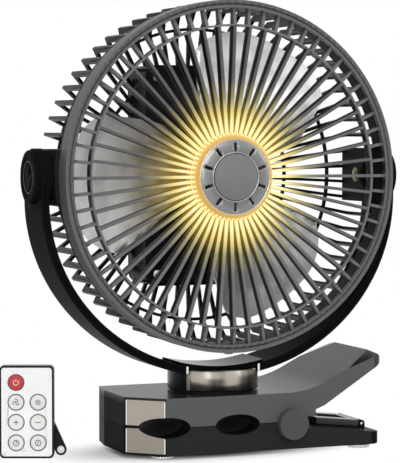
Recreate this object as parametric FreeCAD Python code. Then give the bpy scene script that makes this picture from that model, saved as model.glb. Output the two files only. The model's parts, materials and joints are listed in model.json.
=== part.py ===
import FreeCAD, Part
import math
import os

from FreeCAD import Vector

# Portable clip fan with a ring light and a pocket remote, in millimetres.
# The origin is on the table under the neck's swivel axis, +Z is up and the
# fan blows towards -Y. The head tilts about an axis along X, and the clip
# lies along X with its nose at -X and its handle at +X.

# Head: front grille
ring_radius = 114.0
ring_wall = 2.6
ring_depth = 14.0
ring_lip = 5.2
ring_lip_depth = 4.5
groove_width = 0.7
groove_depth = 1.2
front_to_axis = 38.0
mid_ring_radius = 98.2
mid_ring_wall = 1.2
mid_ring_proud = 2.0
spoke_depth = 7.6
spoke_width = 1.9
outer_spokes = 64
inner_spokes = 56
spoke_root_drop = 4.2

# Head: hub and ring light
hub_radius = 28.2
hub_wall = 2.4
hub_front = 5.0
hub_back = 13.0
hub_floor = 1.6
cap_radius = 24.2
cap_front = -2.3
cap_wall = 1.5
cap_skirt_radius = 21.6
slot_count = 10
slot_width = 2.2
slot_inner = 16.6
slot_outer = 22.2
badge_radius = 15.0
badge_thick = 1.2
light_board_thick = 1.6
light_chips = 24
chip_size = 2.6
chip_thick = 0.8
chip_circle = 23.9

# Head: rear grille, battery box and cover
rear_wall_depth = 58.0
rib_count = 64
rib_width = 2.0
rib_depth = 4.2
rear_ring_radius = 99.0
rear_ring_depth = 70.5
inner_ring_radius = 68.0
inner_ring_depth = 76.6
rear_ring_size = 2.0
rib_end_depth = 79.6
rim_flange = 2.8
box_half_width = 43.5
box_half_height = 73.0
box_front = 48.0
box_back = 80.0
box_wall = 2.4
box_corner = 8.0
cover_thick = 4.0
cover_skin = 2.4
ear_half_height = 18.0
ear_inner = 104.0
ear_outer = 114.3

# Rotor and motor
blade_count = 3
blade_radius = 98.0
blade_thick = 1.8
blade_front = 19.0
rotor_cup_radius = 23.0
rotor_cup_wall = 2.5
rotor_cup_depth = 25.0
shaft_radius = 2.0
can_radius = 17.0
can_length = 18.4
motor_plate_radius = 22.0
motor_plate_thick = 1.6
motor_bolt_circle = 19.5
bearing_radius = 5.5
bearing_width = 3.0

# Battery, board and rear controls
cell_radius = 10.6
cell_length = 70.0
cell_pitch = 23.0
cell_low = -59.5
board_half_width = 36.0
board_low = 14.0
board_high = 59.0
board_front = 71.0
board_thick = 1.6
post_radius = 2.5
key_radius = 6.0
key_spacing = 28.0
key_height = 46.0
key_proud = 1.2
key_travel = 0.8
switch_size = 6.0
switch_tall = 3.4
window_width = 22.0
window_height = 3.0
window_level = 33.0
port_level = 21.0
flap_width = 43.0
flap_height = 11.2
flap_thick = 1.5

# Yoke and tilt pivots
yoke_half_span = 121.3
yoke_drop = 114.7
yoke_straight = 14.0
yoke_thick = 5.5
yoke_width = 37.0
boss_radius = 17.5
boss_inner = 115.3
boss_outer = 127.3
pivot_radius = 3.0
pivot_head_radius = 5.5
bush_radius = 5.0
pivot_cap_radius = 13.4
pivot_cap_thick = 1.6

# Neck
neck_height = 10.0
collar_radius = 30.0
collar_wall = 1.3
collar_top = 55.0
swivel_radius = 5.0
swivel_head_radius = 12.0
swivel_head_tall = 3.4
nut_tall = 4.8
nut_drop = 9.8
neck_washer_thick = 1.0
pad_half_length = 29.0
pad_thick = 1.5
trim_width = 1.4
trim_proud = 0.8

# Clip
foot_tall = 3.0
foot_radius = 7.5
seam_level = 21.0
clip_top = 40.0
clip_half_width = 40.0
nose_front = -69.5
nose_half_width = 19.5
nose_corner = -47.5
nose_far_corner = -66.0
jaw_shell = 3.2
jaw_cavity_top = 9.0
tail_end = 106.0
tail_round = 10.0
cavity_end = 101.0
tail_root_level = 17.9
tail_end_level = 10.7
handle_angle = 27.0
handle_start = 53.1
handle_blend = 70.0
handle_end = 101.5
lens_length = 30.8
lens_height = 13.4
lens_x = (-46.5, 1.9)
hinge_x = 39.4
hinge_z = 19.8
hinge_pin_radius = 3.0
lug_radius = 8.6
lug_low = 20.0
lug_high = 31.4
hinge_cap_radius = 10.2
hinge_cap_proud = 6.6
grip_half_width = 24.0
grip_thick = 1.4
panel_depth = 1.0
spring_radius = 4.3
spring_wire = 1.0
spring_turns = 8
spring_pitch = 2.6
hook_x = 101.5
hook_length = 34.0
hook_half_width = 18.0
hook_thick = 4.4
hook_barrel = 2.3
hook_pin_radius = 1.0

# Remote
remote_width = 35.2
remote_height = 60.0
remote_thick = 7.5
remote_frame = 1.2
remote_turn = -21.4
remote_x = -126.0
remote_y = 7.6
remote_key_radius = 4.7
remote_key_proud = 0.6
remote_key_travel = 0.5
remote_columns = (-6.8, 7.4)
remote_rows = (49.2, 36.4, 23.4, 10.1)
tab_pivot = (13.7, 21.9)
tab_tip = (21.5, 4.5)
tab_radius = 3.7
tab_thick = 2.0

# Clearances
seat = 0.1
running = 0.06
slip = 0.2
swing = 0.3

# Levels worked out from the sizes above
tilt_z = clip_top + neck_height + yoke_thick / 2 + yoke_drop + yoke_straight
hub_floor_z = clip_top + neck_washer_thick + 0.2
HUGE = 500.0


def depth(value):
    """Y of a plane that lies this far behind the grille's front face."""
    return value - front_to_axis


def box(x0, x1, y0, y1, z0, z1):
    return Part.makeBox(x1 - x0, y1 - y0, z1 - z0, Vector(x0, y0, z0))


def rod(radius, start, direction, length):
    return Part.makeCylinder(radius, length, Vector(*start), Vector(*direction))


def pipe(outer, inner, start, direction, length):
    return rod(outer, start, direction, length).cut(rod(inner, start, direction, length))


def along_y(radius, x, z, y0, y1):
    return rod(radius, (x, y0, z), (0, 1, 0), y1 - y0)


def ring_y(outer, inner, x, z, y0, y1):
    return along_y(outer, x, z, y0, y1).cut(along_y(inner, x, z, y0, y1))


def outline_face(points):
    """Face of a closed outline through 3D points."""
    return Part.Face(Part.makePolygon([Vector(*p) for p in points + points[:1]]))


def spin_head(profile):
    """Revolve (radius, depth) points about the head's axis."""
    face = outline_face([(r, depth(d), tilt_z) for r, d in profile])
    return face.revolve(Vector(0, 0, tilt_z), Vector(0, 1, 0), 360)


def side_prism(points, y0, y1):
    """Extrude an (x, z) outline along Y."""
    return outline_face([(x, y0, z) for x, z in points]).extrude(Vector(0, y1 - y0, 0))


def plan_prism(points, z0, z1):
    """Extrude an (x, y) outline along Z."""
    return outline_face([(x, y, z0) for x, y in points]).extrude(Vector(0, 0, z1 - z0))


def around_head(shape, count, phase=0.0):
    copies = []
    for index in range(count):
        copy = shape.copy()
        copy.rotate(Vector(0, 0, tilt_z), Vector(0, 1, 0), phase + 360.0 * index / count)
        copies.append(copy)
    return copies


def radial_plates(profile, width, count, phase=0.0):
    """Copies of one upright plate, its (radius, depth) outline turned about the head's axis."""
    face = outline_face([(r, depth(d), tilt_z - width / 2) for r, d in profile])
    return around_head(face.extrude(Vector(0, 0, width)), count, phase)


def mirrored(shape, normal):
    return shape.mirror(Vector(0, 0, 0), Vector(*normal))


def both_sides(shape, normal):
    return Part.makeCompound([shape, mirrored(shape, normal)])


def fuse_all(shapes):
    return shapes[0].fuse(shapes[1:]).removeSplitter()


def rounded_block(half_x, half_z, corner, y0, y1):
    """Block centred on the head's axis with its four long edges rounded."""
    block = box(-half_x, half_x, y0, y1, tilt_z - half_z, tilt_z + half_z)
    edges = [e for e in block.Edges if abs(e.tangentAt(e.FirstParameter).y) > 0.9]
    return block.makeFillet(corner, edges)


# Front grille and hub

def make_front_grille():
    inner = ring_radius - ring_lip
    wall = ring_radius - ring_wall
    ring = spin_head([(ring_radius, 0), (ring_radius, ring_depth), (wall, ring_depth),
                      (wall, ring_lip_depth), (inner, ring_lip_depth), (inner, 0),
                      (wall - groove_width, 0), (wall - groove_width, groove_depth),
                      (wall, groove_depth), (wall, 0)])
    mid = mid_ring_radius - mid_ring_wall
    mid_ring = spin_head([(mid, -mid_ring_proud), (mid_ring_radius, -mid_ring_proud),
                          (mid_ring_radius, spoke_depth - mid_ring_proud),
                          (mid, spoke_depth - mid_ring_proud)])
    cup_inner = hub_radius - hub_wall
    boss = light_board_front() + light_board_thick + seat
    hub = spin_head([(0, hub_back), (hub_radius, hub_back), (hub_radius, hub_front),
                     (cup_inner, hub_front), (cup_inner, hub_back - hub_floor),
                     (18.0, hub_back - hub_floor), (18.0, boss), (10.0, boss),
                     (10.0, hub_back - hub_floor), (0, hub_back - hub_floor)])
    edge = mid_ring_wall / 2
    short = [(mid + edge, 0.4 - mid_ring_proud), (inner + 1.0, 0.4),
             (inner + 1.0, ring_lip_depth), (mid + edge, spoke_depth - mid_ring_proud - 0.4)]
    root = hub_radius - hub_wall / 2
    long = [(root, hub_front + seat), (hub_radius, hub_front + seat), (hub_radius, spoke_root_drop),
            (mid + edge, 0.4 - mid_ring_proud), (mid + edge, spoke_depth - mid_ring_proud - 0.4),
            (root, spoke_root_drop + spoke_depth)]
    plates = radial_plates(short, spoke_width, outer_spokes)
    plates += radial_plates(long, spoke_width, inner_spokes)
    grille = fuse_all([ring, mid_ring, hub] + plates)
    return grille.cut(rod(1.6, (0, depth(ring_depth / 2 + 3), tilt_z - ring_radius - 5), (0, 0, 1), 10))


def make_rim_screw():
    y = depth(ring_depth / 2 + 3)
    low = tilt_z - ring_radius
    return rod(1.45, (0, y, low - 0.1), (0, 0, 1), ring_lip - 0.4).fuse(
        rod(2.8, (0, y, low - 1.5), (0, 0, 1), 1.45))


def light_board_front():
    return hub_front + 2.0


def make_light_board():
    front = light_board_front()
    return spin_head([(8.0, front), (cap_skirt_radius + 3.9, front),
                      (cap_skirt_radius + 3.9, front + light_board_thick),
                      (8.0, front + light_board_thick)])


def make_light_chips():
    back = light_board_front() - 0.02
    half = chip_size / 2
    chip = box(chip_circle - half, chip_circle + half, depth(back - chip_thick), depth(back),
               tilt_z - half, tilt_z + half)
    return Part.makeCompound(around_head(chip, light_chips))


def make_light_diffuser():
    inner = cap_radius + slip
    return spin_head([(inner, cap_front + 0.5), (inner + 0.8, cap_front + 0.5),
                      (hub_radius - 0.1, hub_front - 2.2), (hub_radius - 0.1, hub_front - seat),
                      (inner, hub_front - seat)])


def make_hub_cap():
    """Cap whose front slopes back towards the light, with radial slots."""
    face = cap_front
    board = light_board_front()
    outer = spin_head([(0, face), (badge_radius + slip, face), (badge_radius + slip, face - 0.4),
                       (badge_radius + 1.2, face - 0.4), (cap_radius - 1.0, face + 0.3),
                       (cap_radius, face + 1.1), (cap_radius, face + cap_wall + 0.9),
                       (cap_skirt_radius, face + cap_wall + 0.9), (cap_skirt_radius, board - seat),
                       (cap_skirt_radius - 1.5, board - seat),
                       (cap_skirt_radius - 1.5, face + cap_wall + 0.9), (0, face + cap_wall + 0.9)])
    half = slot_width / 2
    slot = box(slot_inner, slot_outer, depth(face - 3), depth(face + 1.3), tilt_z - half, tilt_z + half)
    return outer.cut(around_head(slot, slot_count, 90))


def make_hub_badge():
    face = cap_front - seat
    return spin_head([(0, face - badge_thick), (badge_radius - 0.6, face - badge_thick),
                      (badge_radius, face - badge_thick + 0.5), (badge_radius, face), (0, face)])


# Rear grille with its battery box

def rib_profile():
    outer = ring_radius - 0.5
    inner = outer - rib_depth
    return [(inner, ring_depth + 1.0), (outer, ring_depth + 1.0), (outer, rear_wall_depth),
            (rear_ring_radius, rear_ring_depth), (inner_ring_radius, inner_ring_depth),
            (box_half_width - 3.5, rib_end_depth), (box_half_width - 3.5, rib_end_depth - 2.4),
            (inner_ring_radius, inner_ring_depth - 2.8),
            (rear_ring_radius - 1.6, rear_ring_depth - 3.4), (inner, rear_wall_depth - 1.7)]


def ring_bar(radius, level):
    half = rear_ring_size / 2
    return spin_head([(radius - half, level - half), (radius + half, level - half),
                      (radius + half, level + half), (radius - half, level + half)])


def screw_places():
    x = box_half_width - 8.5
    z = box_half_height - 8.0
    return [(sx * x, tilt_z + sz * z) for sx in (-1, 1) for sz in (-1, 1)]


def post_places():
    x = board_half_width - 5.0
    return [(sx * x, tilt_z + z) for sx in (-1, 1) for z in (board_low + 6.0, board_high - 6.0)]


def make_rear_grille():
    spigot = ring_radius - ring_wall - slip
    inner = ring_radius - ring_lip
    rim = spin_head([(inner, ring_lip_depth + 1.5), (spigot, ring_lip_depth + 1.5),
                     (spigot, ring_depth + slip), (ring_radius, ring_depth + slip),
                     (ring_radius, ring_depth + rim_flange), (inner, ring_depth + rim_flange)])
    hull = rounded_block(box_half_width, box_half_height, box_corner, depth(box_front), depth(box_back))
    ribs = [rib.cut(hull) for rib in radial_plates(rib_profile(), rib_width, rib_count,
                                                     180.0 / rib_count)]
    bars = [ring_bar(rear_ring_radius - 1.2, rear_ring_depth - 0.8).cut(hull),
            ring_bar(inner_ring_radius, inner_ring_depth - 1.2).cut(hull)]
    inside = rounded_block(box_half_width - box_wall, box_half_height - box_wall,
                           box_corner - box_wall, depth(box_front + box_wall), depth(box_back + 5))
    shell = hull.cut(inside)
    floor = depth(box_front + box_wall / 2)
    posts = [along_y(4.2, x, z, floor, depth(66.0)) for x, z in screw_places()]
    posts += [along_y(post_radius, x, z, floor, depth(board_front - seat)) for x, z in post_places()]
    ear = box(ear_inner, ear_outer, depth(ring_depth + slip), depth(rear_wall_depth),
              tilt_z - ear_half_height, tilt_z + ear_half_height)
    grille = fuse_all([rim, shell, ear, mirrored(ear, (1, 0, 0))] + ribs + bars + posts)
    cuts = [along_y(1.55, x, z, depth(box_front - 5), depth(70)) for x, z in screw_places()]
    cuts += [along_y(3.2, x, z, depth(box_front - 5), depth(box_front + 3.0)) for x, z in screw_places()]
    cuts += [along_y(1.45, x, z, depth(box_front - 5), depth(box_front + 5))
             for x, z in motor_bolt_places()]
    low = tilt_z - ring_radius
    cuts.append(rod(1.5, (0, depth(ring_depth / 2 + 3), low - 5), (0, 0, 1), 12))
    for sign in (-1, 1):
        cuts.append(rod(bush_radius + seat / 2, (sign * (ear_inner - 5), 0, tilt_z), (sign, 0, 0), 30))
    return grille.cut(cuts)


def make_rear_cover():
    plate = rounded_block(box_half_width, box_half_height, box_corner,
                          depth(box_back + slip), depth(box_back + cover_thick))
    edges = [e for e in plate.Edges if abs(e.CenterOfMass.y - depth(box_back + cover_thick)) < 0.01]
    plate = plate.makeFillet(1.4, edges)
    clear = box_wall + slip
    lip = rounded_block(box_half_width - clear, box_half_height - clear, box_corner - clear,
                        depth(box_back - 3), depth(box_back + 1))
    hollow = rounded_block(box_half_width - clear - 1.6, box_half_height - clear - 1.6,
                           box_corner - clear - 1.6, depth(box_back - 5),
                           depth(box_back + cover_thick - cover_skin))
    bosses = [along_y(3.6, x, z, depth(66.0 + slip), depth(box_back + cover_thick - cover_skin / 2))
              for x, z in screw_places()]
    cover = fuse_all([plate.fuse(lip).cut(hollow)] + bosses)
    back = depth(box_back + cover_thick)
    skin = depth(box_back + cover_thick - cover_skin)
    cuts = [along_y(1.5, x, z, depth(60), depth(78)) for x, z in screw_places()]
    for x in (-key_spacing / 2, key_spacing / 2):
        cuts.append(along_y(key_radius + slip, x, tilt_z + key_height, skin - 1, back + 1))
    half = window_width / 2
    level = tilt_z + window_level
    cuts.append(box(-half, half, back - 1.4, back + 1, level, level + window_height))
    cuts.append(box(-half + 1.2, half - 1.2, skin - 1, back, level + 0.8, level + window_height - 0.8))
    gap = swing
    level = tilt_z + port_level
    cuts.append(box(-flap_width / 2 - gap, flap_width / 2 + gap, back - flap_thick - 0.1, back + 1,
                    level - flap_height / 2 - gap, level + flap_height / 2 + gap))
    for x, width, height in port_sizes():
        cuts.append(box(x - width / 2 - slip, x + width / 2 + slip, skin - 1, back,
                        level - height / 2 - slip, level + height / 2 + slip))
    return cover.cut(cuts)


def make_cover_screws():
    screws = []
    for x, z in screw_places():
        head = along_y(2.8, x, z, depth(box_front + 0.8), depth(box_front + 3.0 - seat))
        screws.append(head.fuse(along_y(1.45, x, z, depth(box_front + 2.0), depth(77))))
    return Part.makeCompound(screws)


def make_battery_cells():
    front = box_front + box_wall + seat + cell_radius
    cells = []
    for index in (-1, 0, 1):
        start = (index * cell_pitch, depth(front), tilt_z + cell_low)
        body = rod(cell_radius, start, (0, 0, 1), cell_length - 1.0)
        tip = rod(3.0, (start[0], start[1], start[2] + cell_length - 1.5), (0, 0, 1), 1.5)
        cells.append(body.fuse(tip))
    return Part.makeCompound(cells)


def make_control_board():
    board = box(-board_half_width, board_half_width, depth(board_front),
                depth(board_front + board_thick), tilt_z + board_low, tilt_z + board_high)
    chip = box(-7, 7, depth(board_front - 2.0), depth(board_front + 0.5), tilt_z + 34, tilt_z + 44)
    coil = along_y(5.0, 18, tilt_z + 32, depth(board_front - 5.0), depth(board_front + 0.5))
    return Part.makeCompound([fuse_all([board, chip, coil])] + tact_switches())


def tact_switches():
    back = board_front + board_thick + 0.02
    half = switch_size / 2
    level = tilt_z + key_height
    switches = []
    for x in (-key_spacing / 2, key_spacing / 2):
        body = box(x - half, x + half, depth(back), depth(back + switch_tall - 0.8),
                   level - half, level + half)
        switches.append(body.fuse(along_y(1.6, x, level, depth(back), depth(back + switch_tall))))
    return switches


def make_rear_key(x):
    """Round key with a flange behind the cover's skin and a stem over its switch."""
    level = tilt_z + key_height
    skin = box_back + cover_thick - cover_skin
    stem_end = board_front + board_thick + switch_tall + key_travel + 0.1
    cap = along_y(key_radius, x, level, depth(skin - seat), depth(box_back + cover_thick + key_proud))
    edges = [e for e in cap.Edges if abs(e.CenterOfMass.y - depth(box_back + cover_thick + key_proud)) < 0.01]
    cap = cap.makeFillet(0.5, edges)
    flange = along_y(key_radius + 1.4, x, level, depth(skin - 1.6), depth(skin - seat))
    stem = along_y(2.6, x, level, depth(stem_end), depth(skin - 1.0))
    return fuse_all([cap, flange, stem])


def make_charge_window():
    half = window_width / 2 - 0.1
    back = depth(box_back + cover_thick)
    level = tilt_z + window_level
    return box(-half, half, back - 1.35, back, level + 0.1, level + window_height - 0.1)


def port_sizes():
    """X place, width and height of the wide and the narrow power port."""
    return ((-9.5, 13.2, 5.8), (11.0, 9.0, 3.4))


def make_power_ports():
    ports = []
    level = tilt_z + port_level
    front = depth(board_front + board_thick + 0.02)
    mouth = depth(box_back + cover_thick - flap_thick - 0.2)
    for x, width, height in port_sizes():
        shell = box(x - width / 2, x + width / 2, front, mouth, level - height / 2, level + height / 2)
        hollow = box(x - width / 2 + 0.5, x + width / 2 - 0.5, front + 1.5, mouth + 1,
                     level - height / 2 + 0.5, level + height / 2 - 0.5)
        tongue = box(x - width / 2 + 1.6, x + width / 2 - 1.6, front + 1.0, mouth - 1.0,
                     level - 0.4, level + 0.4)
        ports.append(shell.cut(hollow).fuse(tongue))
    return Part.makeCompound(ports)


def make_port_flap():
    back = depth(box_back + cover_thick)
    level = tilt_z + port_level
    half = flap_thick / 2
    hinge = level - flap_height / 2 + half
    plate = box(-flap_width / 2, flap_width / 2, back - flap_thick, back, hinge, level + flap_height / 2)
    barrel = rod(half, (-flap_width / 2, back - half, hinge), (1, 0, 0), flap_width)
    pull = box(-4, 4, back - half, back + 0.9, level + flap_height / 2 - 2.2, level + flap_height / 2 - 0.8)
    return fuse_all([plate, barrel, pull])


# Motor and rotor

def motor_bolt_places():
    angles = [math.radians(45 + 90 * index) for index in range(4)]
    return [(motor_bolt_circle * math.cos(a), tilt_z + motor_bolt_circle * math.sin(a)) for a in angles]


def can_front():
    return box_front - seat - motor_plate_thick - can_length


def make_motor_plate():
    plate = ring_y(motor_plate_radius, bearing_radius, 0, tilt_z,
                   depth(box_front - seat - motor_plate_thick), depth(box_front - seat))
    return plate.cut([along_y(1.5, x, z, depth(0), depth(60)) for x, z in motor_bolt_places()])


def make_motor_screws():
    plate_front = box_front - seat - motor_plate_thick
    screws = []
    for x, z in motor_bolt_places():
        head = along_y(2.4, x, z, depth(plate_front - 1.4), depth(plate_front - 0.05))
        screws.append(head.fuse(along_y(1.4, x, z, depth(plate_front - 1.0), depth(box_front + 4.5))))
    return Part.makeCompound(screws)


def make_motor_can():
    front = can_front()
    back = front + can_length
    can = along_y(can_radius, 0, tilt_z, depth(front), depth(back))
    edges = [e for e in can.Edges if abs(e.CenterOfMass.y - depth(front)) < 0.01]
    can = can.makeFillet(2.0, edges)
    cuts = [along_y(bearing_radius - 1.5, 0, tilt_z, depth(front - 1), depth(back + 1))]
    for start in (front - 1, back - bearing_width - seat):
        cuts.append(along_y(bearing_radius + 0.02, 0, tilt_z, depth(start),
                            depth(start + bearing_width + seat + 1)))
    return can.cut(cuts)


def make_motor_bearings():
    rings = []
    for start in (can_front() + seat / 2, can_front() + can_length - bearing_width - seat / 2):
        rings.append(ring_y(bearing_radius, shaft_radius + running, 0, tilt_z, depth(start),
                            depth(start + bearing_width)))
    return Part.makeCompound(rings)


def make_motor_shaft():
    return along_y(shaft_radius, 0, tilt_z, depth(blade_front - 2.0), depth(can_front() + can_length))


def make_blade_nut():
    nut = spin_head([(0, blade_front - 3.6), (4.0, blade_front - 3.4), (7.0, blade_front - 1.6),
                     (7.0, blade_front - 0.05), (0, blade_front - 0.05)])
    return nut.cut(along_y(shaft_radius + 0.02, 0, tilt_z, depth(blade_front - 2.1), depth(blade_front + 1)))


def blade_section(radius, chord, pitch):
    """Thin arched section across the blade, on a plane square to its own radius."""
    half = chord / 2
    rise = chord * 0.06
    angle = math.radians(pitch)
    middle = depth(blade_front + rotor_cup_depth / 2)

    def place(u, v):
        along = u * math.cos(angle) - v * math.sin(angle)
        back = u * math.sin(angle) + v * math.cos(angle)
        return Vector(radius, middle + back, tilt_z + along)

    t = blade_thick / 2
    front = Part.Arc(place(-half, -t), place(0, rise - t), place(half, -t)).toShape()
    rear = Part.Arc(place(half, t), place(0, rise + t), place(-half, t)).toShape()
    ends = [Part.makeLine(place(half, -t), place(half, t)), Part.makeLine(place(-half, t), place(-half, -t))]
    return Part.Wire([front, ends[0], rear, ends[1]])


def blade_outline():
    """Front view of one blade: narrow at the root, swept and rounded at the tip."""
    def spot(radius, angle):
        a = math.radians(angle)
        return Vector(radius * math.cos(a), depth(0), tilt_z + radius * math.sin(a))

    tip = blade_radius
    corners = [spot(18, -42), spot(62, -36), spot(tip - 9, -27), spot(tip, -12), spot(tip, 12),
               spot(tip - 16, 38), spot(60, 50), spot(18, 48)]
    edges = [Part.Arc(corners[0], spot(40, -42), corners[1]).toShape(),
             Part.makeLine(corners[1], corners[2]),
             Part.Arc(corners[2], spot(tip - 2, -19.5), corners[3]).toShape(),
             Part.Arc(corners[3], spot(tip, 0), corners[4]).toShape(),
             Part.Arc(corners[4], spot(tip - 4.5, 27), corners[5]).toShape(),
             Part.makeLine(corners[5], corners[6]),
             Part.Arc(corners[6], spot(38, 54), corners[7]).toShape(),
             Part.makeLine(corners[7], corners[0])]
    return Part.Face(Part.Wire(edges)).extrude(Vector(0, 70, 0))


def make_fan_blade():
    sections = [blade_section(16.0, 34.0, 40.0), blade_section(45.0, 76.0, 17.0),
                blade_section(72.0, 112.0, 11.5), blade_section(104.0, 140.0, 9.0)]
    sheet = Part.makeLoft(sections, True, False)
    blade = sheet.common(blade_outline())
    core = along_y(rotor_cup_radius - 1.0, 0, tilt_z, depth(0), depth(70))
    blade = blade.cut(core)
    back = blade_front + rotor_cup_depth
    cup = spin_head([(0, blade_front), (rotor_cup_radius - 2.0, blade_front),
                     (rotor_cup_radius, blade_front + 2.0), (rotor_cup_radius, back),
                     (rotor_cup_radius - rotor_cup_wall, back),
                     (rotor_cup_radius - rotor_cup_wall, blade_front + rotor_cup_wall),
                     (5.0, blade_front + rotor_cup_wall), (5.0, can_front() - 0.6),
                     (0, can_front() - 0.6)])
    rotor = fuse_all([cup] + around_head(blade, blade_count, 180))
    return rotor.cut(along_y(shaft_radius + 0.02, 0, tilt_z, depth(0), depth(60)))


# Yoke and tilt pivots

def u_solid(offset, half_width):
    """Solid inside a U: straight sides over half an ellipse, grown by the offset."""
    a = yoke_half_span + offset
    b = yoke_drop + offset
    arc = Part.ArcOfEllipse(Part.Ellipse(Vector(0, 0, 0), a, b), math.pi, 2 * math.pi).toShape()
    arc.rotate(Vector(0, 0, 0), Vector(1, 0, 0), 90)
    arc.translate(Vector(0, -half_width, tilt_z - yoke_straight))
    low = tilt_z - yoke_straight
    corners = [Vector(a, -half_width, low), Vector(a, -half_width, tilt_z),
               Vector(-a, -half_width, tilt_z), Vector(-a, -half_width, low)]
    lines = [Part.makeLine(corners[i], corners[i + 1]) for i in range(3)]
    return Part.Face(Part.Wire([arc] + lines)).extrude(Vector(0, 2 * half_width, 0))


def make_yoke():
    half = yoke_width / 2
    skin = yoke_thick / 2
    band = u_solid(skin, half).cut(u_solid(-skin, half + 1))
    groove_line = u_solid(0.6, half + 1).cut(u_solid(-0.6, half + 2))
    keep = u_solid(skin + 5, half - 0.7)
    groove = groove_line.cut(keep)
    head = rod(half, (yoke_half_span - skin, 0, tilt_z), (1, 0, 0), yoke_thick)
    boss = rod(boss_radius, (boss_inner, 0, tilt_z), (1, 0, 0), boss_outer - boss_inner)
    edges = [e for e in boss.Edges if abs(e.CenterOfMass.x - boss_outer) < 0.01]
    boss = boss.makeFillet(1.2, edges)
    hub = rod(collar_radius - collar_wall - seat / 2, (0, 0, hub_floor_z), (0, 0, 1),
              collar_top - hub_floor_z)
    hub = hub.cut(u_solid(-skin, half + 50))
    sides = [head, mirrored(head, (1, 0, 0)), boss, mirrored(boss, (1, 0, 0))]
    yoke = fuse_all([band.cut(groove), hub] + sides)
    bore = []
    for sign in (-1, 1):
        bore.append(rod(pivot_radius + running, (sign * (boss_inner - 5), 0, tilt_z), (sign, 0, 0), 30))
        bore.append(rod(pivot_head_radius + slip, (sign * (boss_outer - 7.4), 0, tilt_z), (sign, 0, 0), 30))
        bore.append(rod(pivot_cap_radius + slip, (sign * (boss_outer - pivot_cap_thick - 0.4), 0, tilt_z),
                        (sign, 0, 0), 30))
    bore.append(rod(swivel_radius + running, (0, 0, 0), (0, 0, 1), HUGE / 5))
    bore.append(rod(swivel_head_radius + slip, (0, 0, clip_top + neck_height), (0, 0, 1), 50))
    return yoke.cut(bore)


def make_yoke_pad():
    """Cover strip that follows the yoke's inner face over the swivel bolt."""
    skin = yoke_thick / 2
    half = yoke_width / 2 - 1.0
    strip = u_solid(-skin - seat / 2, half).cut(u_solid(-skin - pad_thick, half + 1))
    return strip.common(box(-pad_half_length, pad_half_length, -HUGE, HUGE, 0, tilt_z - 50))


def make_neck_collar():
    low = hub_floor_z - seat / 2
    tube = pipe(collar_radius, collar_radius - collar_wall, (0, 0, low), (0, 0, 1), collar_top - low)
    edges = [e for e in tube.Edges if abs(e.Length - 2 * math.pi * collar_radius) < 0.1]
    tube = tube.makeChamfer(0.5, edges)
    return tube.cut(u_solid(yoke_thick / 2 + seat / 2, yoke_width / 2 + seat / 2))


def make_collar_trims():
    half = yoke_width / 2
    x = math.sqrt(collar_radius ** 2 - half ** 2) + seat + trim_proud
    band = u_solid(yoke_thick / 2 - 0.4, HUGE / 5).cut(u_solid(-yoke_thick / 2 + 0.4, HUGE / 4))
    trim = box(x, x + trim_width, half + 0.02, half + trim_proud, 0, tilt_z).common(band)
    trims = [trim, mirrored(trim, (1, 0, 0))]
    return Part.makeCompound(trims + [mirrored(t, (0, 1, 0)) for t in trims])


def make_swivel_bolt():
    low = clip_top - nut_drop - 0.5
    seat_z = clip_top + neck_height + 0.05
    bolt = rod(swivel_radius, (0, 0, low), (0, 0, 1), seat_z + 1 - low)
    bolt = bolt.fuse(rod(swivel_head_radius, (0, 0, seat_z), (0, 0, 1), swivel_head_tall))
    return bolt.cut(box(-7, 7, -1, 1, seat_z + swivel_head_tall - 1.2, HUGE))


def make_swivel_nut():
    low = clip_top - nut_drop
    points = [(8.0 * math.cos(math.radians(60 * k)), 8.0 * math.sin(math.radians(60 * k)))
              for k in range(6)]
    return plan_prism(points, low, low + nut_tall).cut(rod(swivel_radius + 0.02, (0, 0, 0), (0, 0, 1), 100))


def make_neck_washer():
    return pipe(collar_radius - 4.0, swivel_radius + 1.0, (0, 0, clip_top + 0.02), (0, 0, 1),
                neck_washer_thick)


def make_pivot_screws():
    head_seat = boss_outer - 7.4 + 0.05
    shank = rod(pivot_radius, (ear_inner - 0.5, 0, tilt_z), (1, 0, 0), head_seat + 1 - ear_inner)
    head = rod(pivot_head_radius, (head_seat, 0, tilt_z), (1, 0, 0), 3.4)
    screw = shank.fuse(head).cut(box(head_seat + 2.2, HUGE, -0.8, 0.8, tilt_z - 4, tilt_z + 4))
    return both_sides(screw, (1, 0, 0))


def make_pivot_bushes():
    bush = pipe(bush_radius, pivot_radius + running, (ear_inner + 0.3, 0, tilt_z), (1, 0, 0),
                ear_outer - ear_inner - 0.4)
    return both_sides(bush, (1, 0, 0))


def make_friction_washers():
    washer = pipe(12.0, pivot_radius + 0.3, (ear_outer + seat, 0, tilt_z), (1, 0, 0),
                  boss_inner - ear_outer - 2 * seat)
    return both_sides(washer, (1, 0, 0))


def make_pivot_caps():
    x = boss_outer - pivot_cap_thick - 0.3
    cap = rod(pivot_cap_radius, (x, 0, tilt_z), (1, 0, 0), pivot_cap_thick)
    ring = pipe(10.6, 9.8, (x + pivot_cap_thick - 0.5, 0, tilt_z), (1, 0, 0), 2)
    return both_sides(cap.cut(ring), (1, 0, 0))


# Clip

def clip_plan(inset=0.0, end=HUGE):
    """Outline of the clip from above: straight sides, and a nose cut back most on the -Y side."""
    half = clip_half_width - inset
    slope = math.hypot(nose_corner - nose_front, clip_half_width - nose_half_width)
    shift = inset * (slope - (nose_corner - nose_front)) / (clip_half_width - nose_half_width)
    cut = inset * (slope - (clip_half_width - nose_half_width)) / (nose_corner - nose_front)
    front = nose_front + inset
    corner = nose_corner + shift
    nose = nose_half_width - cut
    return [(corner, -half), (end - inset, -half), (end - inset, half),
            (nose_far_corner + inset, half), (front, nose), (front, -nose)]


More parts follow.
